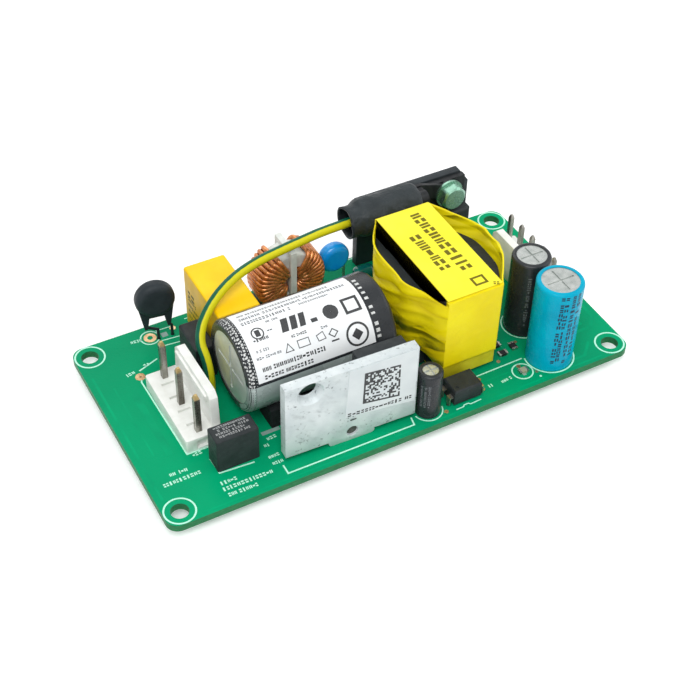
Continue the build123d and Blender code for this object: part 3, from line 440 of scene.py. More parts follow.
class Look(Enum):
    """The finishes of the power supply."""

    MASK = SolderMask("mask_green", (0, 162, 110), (4, 140, 96), 34.0, (0.3, 0.42), relief=0.00003,
                      mirror=0.05)
    TRACK = Finish("mask_over_copper", (0, 166, 113), (2, 148, 102), 160.0, (0.3, 0.4), mirror=0.05)
    LEGEND = Finish("legend_print", (196, 250, 228), (172, 234, 210), 2500.0, (0.5, 0.65), mirror=0.2)
    NYLON = Finish("white_nylon", (240, 242, 238), (228, 230, 224), 420.0, (0.35, 0.5), coat=0.1)
    TINNED = Finish("tinned_metal", (196, 194, 186), (150, 146, 136), 900.0, (0.25, 0.42), 0.9,
                    stretch=(1.0, 1.0, 0.15))
    PIN = Finish("header_pin", (176, 174, 166), (104, 100, 92), 1100.0, (0.24, 0.38), 0.85,
                 stretch=(1.0, 1.0, 0.08))
    AC_PIN = TippedPin("tipped_pin", (168, 166, 158), (92, 88, 80), 1100.0, (0.24, 0.38), 0.8,
                       stretch=(1.0, 1.0, 0.08))
    SOLDER = Finish("solder", (214, 214, 208), (168, 168, 160), 1500.0, (0.14, 0.3), 0.95, relief=0.00008)
    PADS = Finish("solder_pads", (205, 178, 140), (176, 138, 98), 900.0, (0.25, 0.45), 0.8)
    BLACK = Finish("black_moulding", (36, 41, 43), (47, 52, 54), 500.0, (0.42, 0.6), relief=0.00004,
                   mirror=0.25)
    COATING = Finish("black_coating", (32, 39, 43), (41, 49, 53), 400.0, (0.42, 0.55), grain=1800.0,
                     relief=0.00006, mirror=0.22)
    # The yellow capacitor's side colours are painted shade on the faces that turn down from the top.
    YELLOW_BOX = PaintedSideShadeFinish("yellow_case", (252, 212, 12), (246, 198, 0), 160.0, (0.34, 0.46), mirror=0.25,
                          side=(222, 178, 6), painted_side_shade_worn=(236, 188, 2))
    CASE_WHITE = Finish("choke_case_white", (230, 233, 228), (202, 207, 200), 500.0, (0.45, 0.6))
    COPPER = WoundWire("enamelled_copper", (226, 164, 100), (168, 104, 56), 900.0, (0.2, 0.34), 0.5,
                       relief=0.00003)
    BLUE = Finish("blue_coating", (24, 174, 255), (8, 150, 252), 300.0, (0.14, 0.24), coat=0.6, mirror=0.3)
    BROWN = Finish("brown_coating", (92, 62, 40), (64, 42, 28), 500.0, (0.3, 0.45), coat=0.3)
    TEAL = Finish("teal_coating", (12, 110, 96), (6, 84, 84), 900.0, (0.14, 0.25), coat=0.4, mirror=0.3)
    CAN = Finish("can_aluminium", (232, 236, 232), (210, 216, 212), 260.0, (0.28, 0.4), 0.6,
                 relief=0.000005)
    CAN_TOP = Finish("can_top", (198, 202, 199), (172, 178, 175), 700.0, (0.24, 0.4), 0.85, relief=0.00002)
    SLEEVE = Finish("black_sleeve", (34, 38, 42), (44, 47, 50), 220.0, (0.22, 0.34), relief=0.00003,
                    mirror=0.3)
    CYAN = Finish("cyan_sleeve", (0, 172, 202), (0, 154, 186), 220.0, (0.2, 0.32), relief=0.00003, coat=0.06,
                  mirror=0.08)
    RUBBER = Finish("black_rubber", (26, 26, 28), (38, 38, 39), 800.0, (0.6, 0.8), mirror=0.2)
    FOAM = Finish("black_pad", (26, 29, 31), (38, 42, 44), 900.0, (0.75, 0.9), grain=2400.0, relief=0.0002,
                  mirror=0.2)
    PAPER = Finish("label_paper", (244, 246, 247), (234, 238, 240), 260.0, (0.35, 0.5), relief=0.00001)
    PLATE_PAPER = Finish("plate_label_paper", (218, 225, 226), (208, 216, 218), 260.0, (0.4, 0.55),
                         relief=0.00001)
    INK = Finish("black_print", (38, 40, 42), (58, 60, 62), 3200.0, (0.45, 0.6))
    GREY_INK = Finish("grey_print", (78, 82, 86), (120, 124, 128), 4200.0, (0.5, 0.65))
    PALE_INK = Finish("pale_print", (176, 178, 178), (116, 120, 121), 3200.0, (0.5, 0.65))
    OLIVE_INK = Finish("olive_print", (92, 84, 6), (120, 110, 10), 4200.0, (0.4, 0.6), mirror=0.2)
    WHITE_INK = Finish("white_print", (226, 228, 226), (176, 180, 180), 4200.0, (0.45, 0.6))
    NAVY_INK = Finish("navy_print", (6, 34, 58), (2, 56, 86), 4200.0, (0.3, 0.5), mirror=0.25)
    STRIPE = Finish("silver_stripe", (184, 196, 194), (140, 152, 150), 160.0, (0.24, 0.36), 0.25,
                    stretch=(0.4, 1.0, 1.0))
    PLATE = ScuffedPlate("bare_aluminium", (216, 223, 224), (196, 205, 207), 300.0, (0.4, 0.58), 0.28,
                         relief=0.00005)
    ANODISED = Finish("black_plate", (36, 42, 46), (46, 53, 57), 260.0, (0.4, 0.55), relief=0.00004,
                      mirror=0.25)
    THERMAL = Finish("thermal_pad", (60, 68, 70), (80, 88, 90), 700.0, (0.6, 0.75), mirror=0.3)
    FERRITE = Finish("ferrite", (28, 28, 31), (40, 40, 43), 900.0, (0.5, 0.7), grain=2600.0, relief=0.00008,
                     mirror=0.25)
    # The tape wrap gets painted shade in its creases and low beside the coil.
    TAPE = TapeFilm("yellow_tape", (244, 228, 14), (232, 210, 4), 90.0, (0.3, 0.44), relief=0.001, mirror=0.2)
    # The band's sides get painted shade from the class's side colours.
    TAPE_FLAT = PaintedSideShadeFinish("yellow_tape_flat", (246, 238, 62), (242, 230, 48), 110.0, (0.32, 0.46),
                         grain=400.0, relief=0.00008, mirror=0.2)
    WIRE = Insulation("ground_insulation", (10, 98, 72), (6, 82, 60), 500.0, (0.34, 0.46), mirror=0.2,
                      turn=0.065)
    CHIP = Finish("chip_body", (28, 30, 32), (40, 42, 44), 2000.0, (0.35, 0.5), mirror=0.3)
    LAMP = ClearBody("lamp_body", (240, 240, 214), (226, 224, 190), 900.0, (0.1, 0.2))
    STEEL = Finish("green_steel", (150, 190, 170), (112, 158, 138), 260.0, (0.2, 0.36), 0.85, relief=0.00003)
    SHRINK = Finish("shrink_sleeve", (34, 40, 43), (46, 53, 56), 240.0, (0.42, 0.56), grain=270.0,
                    relief=0.0009, mirror=0.25)
    DARK_TAB = Finish("dark_metal", (52, 54, 56), (38, 40, 42), 700.0, (0.34, 0.5), 0.5, mirror=0.3)
    SILK_GREY = Finish("grey_strip", (150, 176, 168), (128, 158, 150), 900.0, (0.5, 0.65), mirror=0.2)
    DIMPLE = Finish("dark_dimple", (92, 92, 88), (66, 66, 62), 1500.0, (0.5, 0.7), mirror=0.3)

    @property
    def material(self) -> bpy.types.Material:
        """The finish's material."""
        return self.value.material()


class Shop:
    """Dresses CAD nodes, makes finer copies of them and hands finished pieces to the frame."""

    weld: float = 0.002
    smooth_angle: float = 50.0

    @staticmethod
    def piece(name: str, mesh: bpy.types.Mesh, look: Look, slot: str = "",
              replaces: Sequence[str] = ()) -> bpy.types.Object:
        """Show a mesh as a piece that rides on the part.

        Args:
            name: the piece's name.
            mesh: its mesh, in place and in metres.
            look: its finish, for every face that has none yet.
            slot: not used.
            replaces: the CAD nodes that it stands for.

        Returns:
            The new object.
        """
        obj = show(name, mesh)
        if not mesh.materials:
            mesh.materials.append(look.material)
        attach(obj, "root")
        if replaces:
            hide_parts(*replaces)
        return obj

    @staticmethod
    def dress(finishes: dict[Look, Sequence[str]]) -> None:
        """Give CAD nodes their finishes.

        Args:
            finishes: the nodes that get each finish.
        """
        for look, nodes in finishes.items():
            for name in nodes:
                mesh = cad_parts[name].data
                mesh.materials.clear()
                mesh.materials.append(look.material)
            log.info("dressed %s in %s", ", ".join(nodes), look.name.lower())

    @classmethod
    def copied(cls, node: str) -> bmesh.types.BMesh:
        """A CAD node's shape as an editable copy, with its loose triangles joined.

        Args:
            node: the CAD node.

        Returns:
            The copy.
        """
        shape = bmesh.new()
        shape.from_mesh(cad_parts[node].data)
        bmesh.ops.remove_doubles(shape, verts=shape.verts, dist=cls.weld * MM)
        return shape

    @classmethod
    def stand_in(cls, node: str, ending: str, shape: bmesh.types.BMesh, look: Look,
                 slot: str) -> bpy.types.Object:
        """Show an edited copy in place of its CAD node.

        Args:
            node: the CAD node.
            ending: what is added to the node's name.
            shape: the edited copy, which is used up.
            look: its finish.
            slot: passed on to Shop.piece, which does not use it.

        Returns:
            The new piece.
        """
        mesh = bpy.data.meshes.new(node + ending)
        shape.to_mesh(mesh)
        shape.free()
        mesh.polygons.foreach_set("use_smooth", [True] * len(mesh.polygons))
        mesh.set_sharp_from_angle(angle=math.radians(cls.smooth_angle))
        log.info("made %s, %d faces", mesh.name, len(mesh.polygons))
        return cls.piece(node + ending, mesh, look, slot, [node])

    @classmethod
    def softened(cls, node: str, look: Look, width: float, slot: str, segments: int = 2,
                 angle: float = 40.0) -> bpy.types.Object:
        """A copy of a CAD node with its edges rounded, which stands for it.

        Args:
            node: the CAD node.
            look: its finish.
            width: how far the rounding reaches from an edge, in millimetres.
            slot: passed on to Shop.piece, which does not use it.
            segments: how many faces the rounding has.
            angle: edges sharper than this many degrees are rounded.

        Returns:
            The new piece.
        """
        shape = cls.copied(node)
        bmesh.ops.dissolve_limit(shape, angle_limit=math.radians(1.0), verts=shape.verts, edges=shape.edges)
        sharp = [e for e in shape.edges
                 if len(e.link_faces) == 2 and e.calc_face_angle(0) > math.radians(angle)]
        bmesh.ops.bevel(shape, geom=sharp, offset=width * MM, segments=segments, profile=0.6,
                        affect="EDGES", clamp_overlap=True)
        return cls.stand_in(node, "_finished", shape, look, slot)

    @classmethod
    def reshaped(cls, node: str, look: Look, step: float, move: Callable[[Vector], Vector], slot: str,
                 rounds: int = 6) -> bpy.types.Object:
        """A finely cut copy of a CAD node with its points moved a little, which stands for it.

        Args:
            node: the CAD node.
            look: its finish.
            step: the longest edge that is left, in millimetres.
            move: gives how far the point at a place moves, both in millimetres.
            slot: passed on to Shop.piece, which does not use it.
            rounds: how often long edges are cut in two, at most.

        Returns:
            The new piece.
        """
        shape = cls.copied(node)
        for _ in range(rounds):
            long = [e for e in shape.edges if e.calc_length() > step * MM]
            if long:
                bmesh.ops.subdivide_edges(shape, edges=long, cuts=1)
                bmesh.ops.triangulate(shape, faces=shape.faces)
        for vert in shape.verts:
            vert.co += move(vert.co / MM) * MM
        return cls.stand_in(node, "_reshaped", shape, look, slot)


@dataclass(frozen=True)
class Room:
    """The box that a CAD node fills, in millimetres."""

    low: Vector
    high: Vector

    @classmethod
    def of(cls, node: str) -> "Room":
        """Measure a CAD node.

        Args:
            node: the node's name.

        Returns:
            Its box.
        """
        spots = [v.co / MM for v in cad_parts[node].data.vertices]
        low, high = (Vector([pick(s[i] for s in spots) for i in range(3)]) for pick in (min, max))
        return cls(low, high)

    @property
    def middle(self) -> Vector:
        """The box's centre."""
        return (self.low + self.high) / 2


@dataclass
class Print:
    """Flat marks on a surface: lines, bars, rings and rows that stand for print.

    The marks are drawn in a flat sheet's millimetres and laid on the surface by a function.
    """

    lay: Callable[[float, float, float], Point]
    step: float
    lift: float
    points: list[Point] = field(default_factory=list)
    faces: list[tuple[int, ...]] = field(default_factory=list)

    def patch(self, corners: Sequence[Flat]) -> None:
        """A filled quadrilateral, cut up so that it follows a curved surface.

        Args:
            corners: its four corners, in order round it.
        """
        a, b, c, d = (Vector((*p, 0)) for p in corners)
        across = max(1, math.ceil(max((b - a).length, (c - d).length) / self.step))
        along = max(1, math.ceil(max((d - a).length, (c - b).length) / self.step))
        first = len(self.points)
        for j in range(along + 1):
            left, right = a.lerp(d, j / along), b.lerp(c, j / along)
            for i in range(across + 1):
                p = left.lerp(right, i / across)
                self.points.append(self.lay(p.x, p.y, self.lift))
        for j in range(along):
            for i in range(across):
                k = first + j * (across + 1) + i
                self.faces.append((k, k + 1, k + across + 2, k + across + 1))

    def bar(self, u0: float, v0: float, u1: float, v1: float) -> None:
        """A filled rectangle between two corners."""
        self.patch([(u0, v0), (u1, v0), (u1, v1), (u0, v1)])

    def line(self, path: Sequence[Flat], width: float, close: bool = False) -> None:
        """A line of even width with mitred corners.

        Args:
            path: the points that it runs through.
            width: its width.
            close: whether it runs back to its first point.
        """
        spots = [Vector(p) for p in path]
        count = len(spots)
        sides = []
        for i, spot in enumerate(spots):
            before = (spot - spots[i - 1]).normalized() if i or close else None
            after = (spots[(i + 1) % count] - spot).normalized() if i < count - 1 or close else None
            along = before or after
            if before and after:
                along = (before + after).normalized()
            half = width / 2 / max(0.5, along.dot(after or before))
            sides.append(Vector((-along.y, along.x)) * half)
        for i in range(count if close else count - 1):
            a, b, c, d = spots[i], spots[(i + 1) % count], sides[i], sides[(i + 1) % count]
            self.patch([tuple(a - c), tuple(b - d), tuple(b + d), tuple(a + c)])

    def ring(self, u: float, v: float, r: float, width: float, start: float = 0.0,
             end: float = 360.0) -> None:
        """A ring or part of one.

        Args:
            u: its centre, along the sheet.
            v: its centre, across the sheet.
            r: its radius, to the middle of the line.
            width: the line's width.
            start: where it starts, in degrees.
            end: where it ends, in degrees.
        """
        count = max(6, int(r * abs(end - start) / 22))
        inner, outer = r - width / 2, r + width / 2
        for i in range(count):
            t0, t1 = (math.radians(start + (end - start) * k / count) for k in (i, i + 1))
            self.patch([(u + q * math.cos(t), v + q * math.sin(t))
                        for q, t in ((inner, t0), (outer, t0), (outer, t1), (inner, t1))])

    def dot(self, u: float, v: float, r: float) -> None:
        """A filled round mark."""
        self.ring(u, v, r * 0.55, r * 0.9)
        self.ring(u, v, r * 0.12, r * 0.2)

    def row(self, u0: float, v0: float, u1: float, v1: float, height: float, seed: int,
            wide: float = 0.62, gap: float = 0.09) -> None:
        """A row of small plain marks from one point to another, such as a line of small print.

        Args:
            u0: where the row starts, along the sheet.
            v0: where the row starts, across the sheet.
            u1: where the row ends, along the sheet.
            v1: where the row ends, across the sheet.
            height: height of a mark.
            seed: which of many rows this is.
            wide: a mark's width as a share of its height.
            gap: chance of a space after a mark.
        """
        pick = random.Random(seed)
        pitch, spaced_pitch, least_left = 1.3, 2.2, 0.3
        start, run = Vector((u0, v0)), Vector((u1 - u0, v1 - v0))
        along = run.normalized()
        up = Vector((-along.y, along.x)) * height
        at = 0.0
        while at < run.length - abs(height) * least_left:
            width = abs(height) * wide * pick.uniform(0.7, 1.15)
            base, side = start + along * at, along * width
            kind = pick.random()
            marks = next(marks for chance, marks in self.kinds() if kind < chance)
            for a, b, c, d in marks:
                self.patch([tuple(base + side * x + up * y) for x, y in ((a, b), (c, b), (c, d), (a, d))])
            at += width * (pitch if pick.random() > gap else spaced_pitch)

    @staticmethod
    def kinds() -> tuple[tuple[float, tuple[tuple[float, float, float, float], ...]], ...]:
        """The kinds of mark in a row: a summed chance, and bars as shares of width and height."""
        return ((0.35, ((0.05, 0.06, 0.95, 0.4), (0.05, 0.62, 0.95, 0.96))),
                (0.7, ((0.0, 0.12, 0.42, 0.9), (0.6, 0.12, 1.0, 0.9))),
                (0.85, ((0.2, 0.0, 0.75, 1.0),)),
                (1.0, ((0.0, 0.3, 1.0, 0.7),)))

    def code(self, corners: Sequence[Flat], cells: int, seed: int) -> None:
        """A field of scattered small squares, with a full and a broken edge on two sides each.

        Args:
            corners: its four corners, in order round it.
            cells: how many squares it is wide and high.
            seed: which of many fields this is.
        """
        pick = random.Random(seed)
        a, b, c, d = (Vector(p) for p in corners)

        def spot(i: float, j: float) -> Flat:
            """A point of the field's own grid."""
            return tuple(a.lerp(b, i / cells).lerp(d.lerp(c, i / cells), j / cells))

        for j in range(cells):
            for i in range(cells):
                full = i == 0 or j == 0
                broken = (i == cells - 1 and j % 2 == 0) or (j == cells - 1 and i % 2 == 0)
                if full or broken or pick.random() < 0.5:
                    self.patch([spot(i, j), spot(i + 1, j), spot(i + 1, j + 1), spot(i, j + 1)])

    def finish(self, name: str, look: Look, slot: str = "") -> bpy.types.Object:
        """Turn the marks into one piece.

        Args:
            name: the piece's name.
            look: its finish.
            slot: passed on to Shop.piece, which does not use it.

        Returns:
            The new piece.
        """
        mesh = bpy.data.meshes.new(name)
        mesh.from_pydata([Vector(p) * MM for p in self.points], [], self.faces)
        log.info("printed %s, %d faces", name, len(self.faces))
        return Shop.piece(name, mesh, look, slot)


def on_board(u: float, v: float, lift: float) -> Point:
    """The board's upper face, by X and Y."""
    return (u, v, BOARD_TOP + lift)


def under_board(u: float, v: float, lift: float) -> Point:
    """The board's lower face, as seen from below, by X to the left and Y."""
    return (-u, v, -lift)


@dataclass
class Studio:
    """The camera, the light and the pale floor."""

    place: Point = (-101.30, -175.50, 197.81)
    azimuth: float = -29.8456
    elevation: float = 44.0806
    roll: float = 1.7447
    lens: float = 71.83
    sensor: float = 36.0
    floor_z: float = -2.05
    floor_half: float = 3000.0
    floor_grey: float = 0.86
    floor_glow: float = 0.24
    surround_level: float = 0.62
    lamps: tuple[tuple[str, Point, float, float], ...] = (
        ("key", (-0.25, -0.35, 0.75), 0.55, 4.2), ("fill", (0.55, -0.15, 0.45), 0.5, 1.2),
        ("back", (0.05, 0.6, 0.5), 0.5, 1.0))

    def camera(self) -> None:
        """Stand the camera where the photograph was taken from."""
        a, e, r = (math.radians(x) for x in (self.azimuth, self.elevation, self.roll))
        back = Vector((math.sin(a) * math.cos(e), -math.cos(a) * math.cos(e), math.sin(e)))
        right = Vector((math.cos(a), math.sin(a), 0))
        up = back.cross(right)
        x_axis = right * math.cos(r) + up * math.sin(r)
        y_axis = up * math.cos(r) - right * math.sin(r)
        data = bpy.data.cameras.new("camera")
        data.lens, data.sensor_width = self.lens, self.sensor
        data.clip_start, data.clip_end = 0.01, 10.0
        turn = Matrix((x_axis, y_axis, back)).transposed().to_4x4()
        camera = show("camera", data)
        camera.matrix_world = Matrix.Translation(Vector(self.place) * MM) @ turn
        bpy.context.scene.camera = camera

    @staticmethod
    def lamp(name: str, at: Point, size: float, power: float) -> None:
        """A soft square lamp that faces the object.

        Args:
            name: the lamp's name.
            at: where it hangs, in metres.
            size: its side, in metres.
            power: its power in watts.
        """
        data = bpy.data.lights.new(name, "AREA")
        data.size, data.energy = size, power
        lamp = show(name, data)
        lamp.location = at
        lamp.rotation_euler = (-Vector(at)).to_track_quat("-Z", "Y").to_euler()

    @staticmethod
    def seen(net: Net, otherwise: float) -> Signal:
        """1 for rays from the camera, mirrors and glass, and another value for the rest.

        Args:
            net: the node tree.
            otherwise: the value for the other rays.

        Returns:
            The signal.
        """
        total = net.add("ShaderNodeLightPath", out="Is Camera Ray")
        rays = total.node.outputs
        for name in ("Is Glossy Ray", "Is Transmission Ray"):
            total = net.math("MAXIMUM", total, rays[name])
        return net.add("ShaderNodeMapRange", {0: total, 3: otherwise})

    def surround(self) -> None:
        """An even white surround, brighter where it is seen or mirrored than as a light."""
        world = bpy.data.worlds.new("surround")
        world.use_nodes = True
        net = Net(world.node_tree)
        net.feed(net.nodes["Background"], {"Color": (1, 1, 1, 1),
                                           "Strength": self.seen(net, self.surround_level)})
        bpy.context.scene.world = world

    def floor(self) -> None:
        """A wide pale floor just under the leads, which glows a little where it is seen."""
        half, z = self.floor_half * MM, self.floor_z * MM
        mesh = bpy.data.meshes.new("floor")
        mesh.from_pydata([(-half, -half, z), (half, -half, z), (half, half, z), (-half, half, z)], [],
                         [(0, 1, 2, 3)])
        tree = Tree("floor_white")
        glow = tree.math("SUBTRACT", self.seen(tree, 0.0), 1 - self.floor_glow, use_clamp=True)
        tree.set(Base_Color=(*[self.floor_grey] * 3, 1), Roughness=0.9, Specular_IOR_Level=0.0,
                 Emission_Color=(1, 1, 1, 1), Emission_Strength=glow)
        mesh.materials.append(tree.material)
        show("floor", mesh)

    def build(self) -> None:
        """Set up the whole studio."""
        bpy.context.scene.view_settings.view_transform = "Standard"
        self.camera()
        self.surround()
        for lamp in self.lamps:
            self.lamp(*lamp)
        self.floor()
        log.info("studio ready")


@dataclass
class GroundWire:
    """The green and yellow wire from the ring terminal down to the board."""

    diameter: float = 2.0
    length: float = 69.6
    route: tuple[Point, ...] = (
        (23.0, 18.2, 18.5), (4.6, 18.2, 18.5), (-4.6, 15.7, 19.8), (-16.6, 14.0, 19.6), (-25.2, 10.2, 18.2),
        (-30.7, 6.6, 13.4), (-30.3, 2.2, 9.0), (-30.3, 2.2, 2.5))

    def build(self) -> None:
        curve = bpy.data.curves.new("ground_wire_soft", "CURVE")
        curve.dimensions = "3D"
        spline = curve.splines.new("NURBS")
        spline.points.add(len(self.route) - 1)
        for point, place in zip(spline.points, self.route):
            point.co = (*(Vector(place) * MM), 1)
        spline.order_u = 3
        spline.use_endpoint_u = True
        curve.resolution_u = 24
        curve.bevel_depth = self.diameter / 2 * MM
        curve.bevel_resolution = 6
        curve.use_fill_caps = True
        curve.materials.append(Look.WIRE.material)
        wire = show("ground_wire_soft", curve)
        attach(wire, "root")
        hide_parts("ground_wire")
        Shop.dress({Look.DARK_TAB: ["ring_terminal"], Look.TINNED: ["ground_wire_lead"]})
        log.info("ground wire laid")


@dataclass
class Board:
    """The circuit board, its legend and tracks, and the joints under it."""

    hole_x: float = 47.625
    hole_y: float = 22.225
    ring_r: float = 2.95
    ring_pen: float = 0.34
    pen: float = 0.32
    thin_pen: float = 0.25

    def outlines(self, ink: Print) -> None:
        """Printed outlines round the parts that stand on the board.

        Args:
            ink: the sheet that they are drawn on.
        """
        for x in (-self.hole_x, self.hole_x):
            for y in (-self.hole_y, self.hole_y):
                ink.ring(x, y, self.ring_r, self.ring_pen)
        for path, width in (
                ([(-40.5, 12.6), (-41.2, 11.0), (-40.95, -10.4), (-36.0, -10.5)], self.pen),
                ([(-40.4, 14.1), (-35.9, 15.75)], self.pen),
                ([(-37.6, -13.4), (-37.5, -17.4), (-30.6, -17.9)], self.pen),
                ([(-33.0, 20.1), (-28.6, 19.7)], self.thin_pen),
                ([(-33.3, 18.55), (-28.6, 18.1)], self.thin_pen),
                ([(-32.9, 22.35), (-32.9, 23.3), (-29.5, 23.2)], self.thin_pen),
                ([(-26.25, -21.1), (-26.3, -23.3), (0.6, -23.5), (1.0, -21.6)], self.pen),
                ([(9.9, -23.85), (11.6, -23.8), (11.9, -23.45), (12.9, -23.45), (13.2, -23.8),
                  (15.7, -23.65)], 0.26),
                ([(17.5, -17.95), (29.1, -17.8)], 0.3),
                ([(39.0, -11.6), (47.4, -11.6), (47.4, 13.0), (39.0, 13.0)], self.pen),
                ([(-26.4, 24.0), (-16.6, 24.0), (-16.6, 6.4)], 0.24),
                ([(12.6, 25.0), (39.4, 25.0), (39.4, 21.8)], 0.24)):
            ink.line(path, width)
        for x, y, r, width, start, end in (
                (-34.84, 21.95, 1.9, 0.28, 0, 360), (4.9, -21.2, 3.0, 0.26, 190, 350),
                (34.5, -19.4, 5.1, 0.3, 165, 395), (27.2, -20.95, 2.1, 0.3, 0, 360),
                (34.9, -9.2, 4.35, 0.24, 120, 330)):
            ink.ring(x, y, r, width, start, end)
        ink.dot(29.7, -23.7, 0.28)

    @staticmethod
    def rows(ink: Print) -> None:
        """Rows of plain marks where the real board has small print.

        Args:
            ink: the sheet that they are drawn on.
        """
        first_seed = 3
        for i, (u0, v0, u1, v1, height) in enumerate((
                (-45.9, -14.1, -42.7, -14.2, 0.9), (-47.9, -16.0, -40.4, -15.9, 0.9),
                (-38.5, -20.3, -35.2, -20.3, 0.9), (-38.7, -21.8, -28.4, -21.9, 0.95),
                (-38.3, -23.4, -32.1, -23.5, 0.95), (-40.1, -11.6, -37.9, -11.4, 0.85),
                (-26.0, -14.3, -23.8, -14.1, 0.85), (-27.3, -15.6, -26.3, -15.6, 0.8),
                (-27.8, -18.6, -25.5, -18.5, 0.8), (-27.8, -20.3, -25.9, -20.3, 0.8),
                (-38.9, 21.9, -36.6, 21.7, 0.85), (-43.1, 13.5, -40.9, 13.9, 0.85),
                (-38.9, 14.6, -37.2, 15.2, 0.8), (21.9, -22.0, 24.5, -21.7, 0.8),
                (18.8, -21.8, 19.8, -21.8, 0.8), (42.0, 15.0, 45.0, 15.2, 0.85))):
            ink.row(u0, v0, u1, v1, height, first_seed + i)

    @staticmethod
    def tracks() -> None:
        """Wide copper tracks that stand out faintly under the lacquer, on both faces."""
        copper = Print(on_board, step=4.0, lift=0.016)
        for path, width in (
                ([(-49.4, -18.5), (-49.4, 16.4)], 0.5),
                ([(-44.0, -24.5), (44.0, -24.5)], 0.4),
                ([(-43.7, -9.0), (-43.7, 8.0), (-42.4, 9.6)], 1.4),
                ([(-46.6, -8.0), (-46.6, 12.0)], 0.35),
                ([(-30.0, -21.0), (-30.0, -24.0)], 0.3),
                ([(30.5, -22.9), (41.0, -22.9), (44.0, -19.9)], 0.6),
                ([(41.5, -16.5), (47.0, -16.5), (49.2, -14.0), (49.2, 14.0)], 0.8),
                ([(15.6, -19.9), (24.4, -19.9)], 0.3),
                ([(40.4, -14.6), (46.0, -14.6)], 1.0),
                ([(42.0, 17.4), (44.0, 17.4)], 1.0)):
            copper.line(path, width)
        copper.finish("board_tracks", Look.TRACK, "board_green")
        under = Print(under_board, step=6.0, lift=0.016)
        for path, width in (
                ([(46.0, -12.0), (46.0, 12.0)], 2.4), ([(42.5, -6.0), (42.5, 6.5)], 1.6),
                ([(33.5, -14.0), (33.5, -4.0), (30.0, -0.5), (30.0, 14.0)], 1.8),
                ([(25.5, 8.0), (25.5, 17.5), (20.5, 17.5)], 1.8), ([(15.5, 12.5), (15.5, 21.0)], 1.4),
                ([(12.0, -17.0), (12.0, -12.5), (16.5, -12.5)], 1.6), ([(4.0, -20.5), (4.0, -14.0)], 1.4),
                ([(-3.0, -22.5), (-28.0, -22.5)], 1.2), ([(-6.0, 16.5), (-6.0, 21.0), (-12.0, 21.0)], 1.2),
                ([(-12.5, -9.5), (-12.5, 11.5)], 2.2), ([(-22.5, -10.0), (-22.5, 12.0)], 2.2),
                ([(-33.0, -16.0), (-33.0, 3.0), (-30.0, 6.0), (-30.0, 19.5)], 2.6),
                ([(-37.5, -17.5), (-37.5, 16.0)], 2.0), ([(-41.5, -12.0), (-41.5, 10.5)], 1.8)):
            under.line(path, width)
        under.finish("board_tracks_below", Look.TRACK, "board_green")

    @staticmethod
    def pads() -> None:
        """Bare pads and grey patches beside the parts, on the upper face."""
        metal = Print(on_board, step=2.0, lift=0.04)
        for x, y, r in ((-40.85, 12.5, 1.05), (-29.6, 22.6, 0.7), (27.24, -19.4, 0.5), (29.7, -22.3, 0.35),
                        (18.1, -18.9, 0.55), (17.4, -21.5, 0.55), (7.9, -23.4, 0.5), (9.4, -19.2, 0.45),
                        (30.6, -13.2, 0.4), (24.4, -16.4, 0.45)):
            metal.dot(x, y, r)
        metal.ring(-34.84, 21.95, 0.95, 0.75)
        metal.finish("board_pads", Look.PADS, "solder")
        grey = Print(on_board, step=2.0, lift=0.028)
        for corners in ((-32.5, 20.9, -31.2, 22.2), (-26.4, -12.7, -22.6, -11.8), (26.8, -22.1, 27.5, -21.6)):
            grey.bar(*corners)
        grey.finish("board_grey_patches", Look.SILK_GREY)

    def build(self) -> None:
        """Dress the board and print its legend."""
        Shop.dress({Look.MASK: ["circuit_board"], Look.SOLDER: ["solder_joints"]})
        ink = Print(on_board, step=3.0, lift=0.03)
        self.outlines(ink)
        self.rows(ink)
        ink.finish("board_legend", Look.LEGEND)
        self.tracks()
        self.pads()
        log.info("board done")


@dataclass
class Headers:
    """The two white pin headers."""

    rounding: float = 0.14

    def build(self) -> None:
        """Soften the housings and dress the pins."""
        for housing in ("ac_header_housing", "dc_header_housing"):
            Shop.softened(housing, Look.NYLON, self.rounding, "header_white")
        Shop.dress({Look.AC_PIN: ["ac_header_pins"], Look.PIN: ["dc_header_pins"]})
        log.info("headers done")


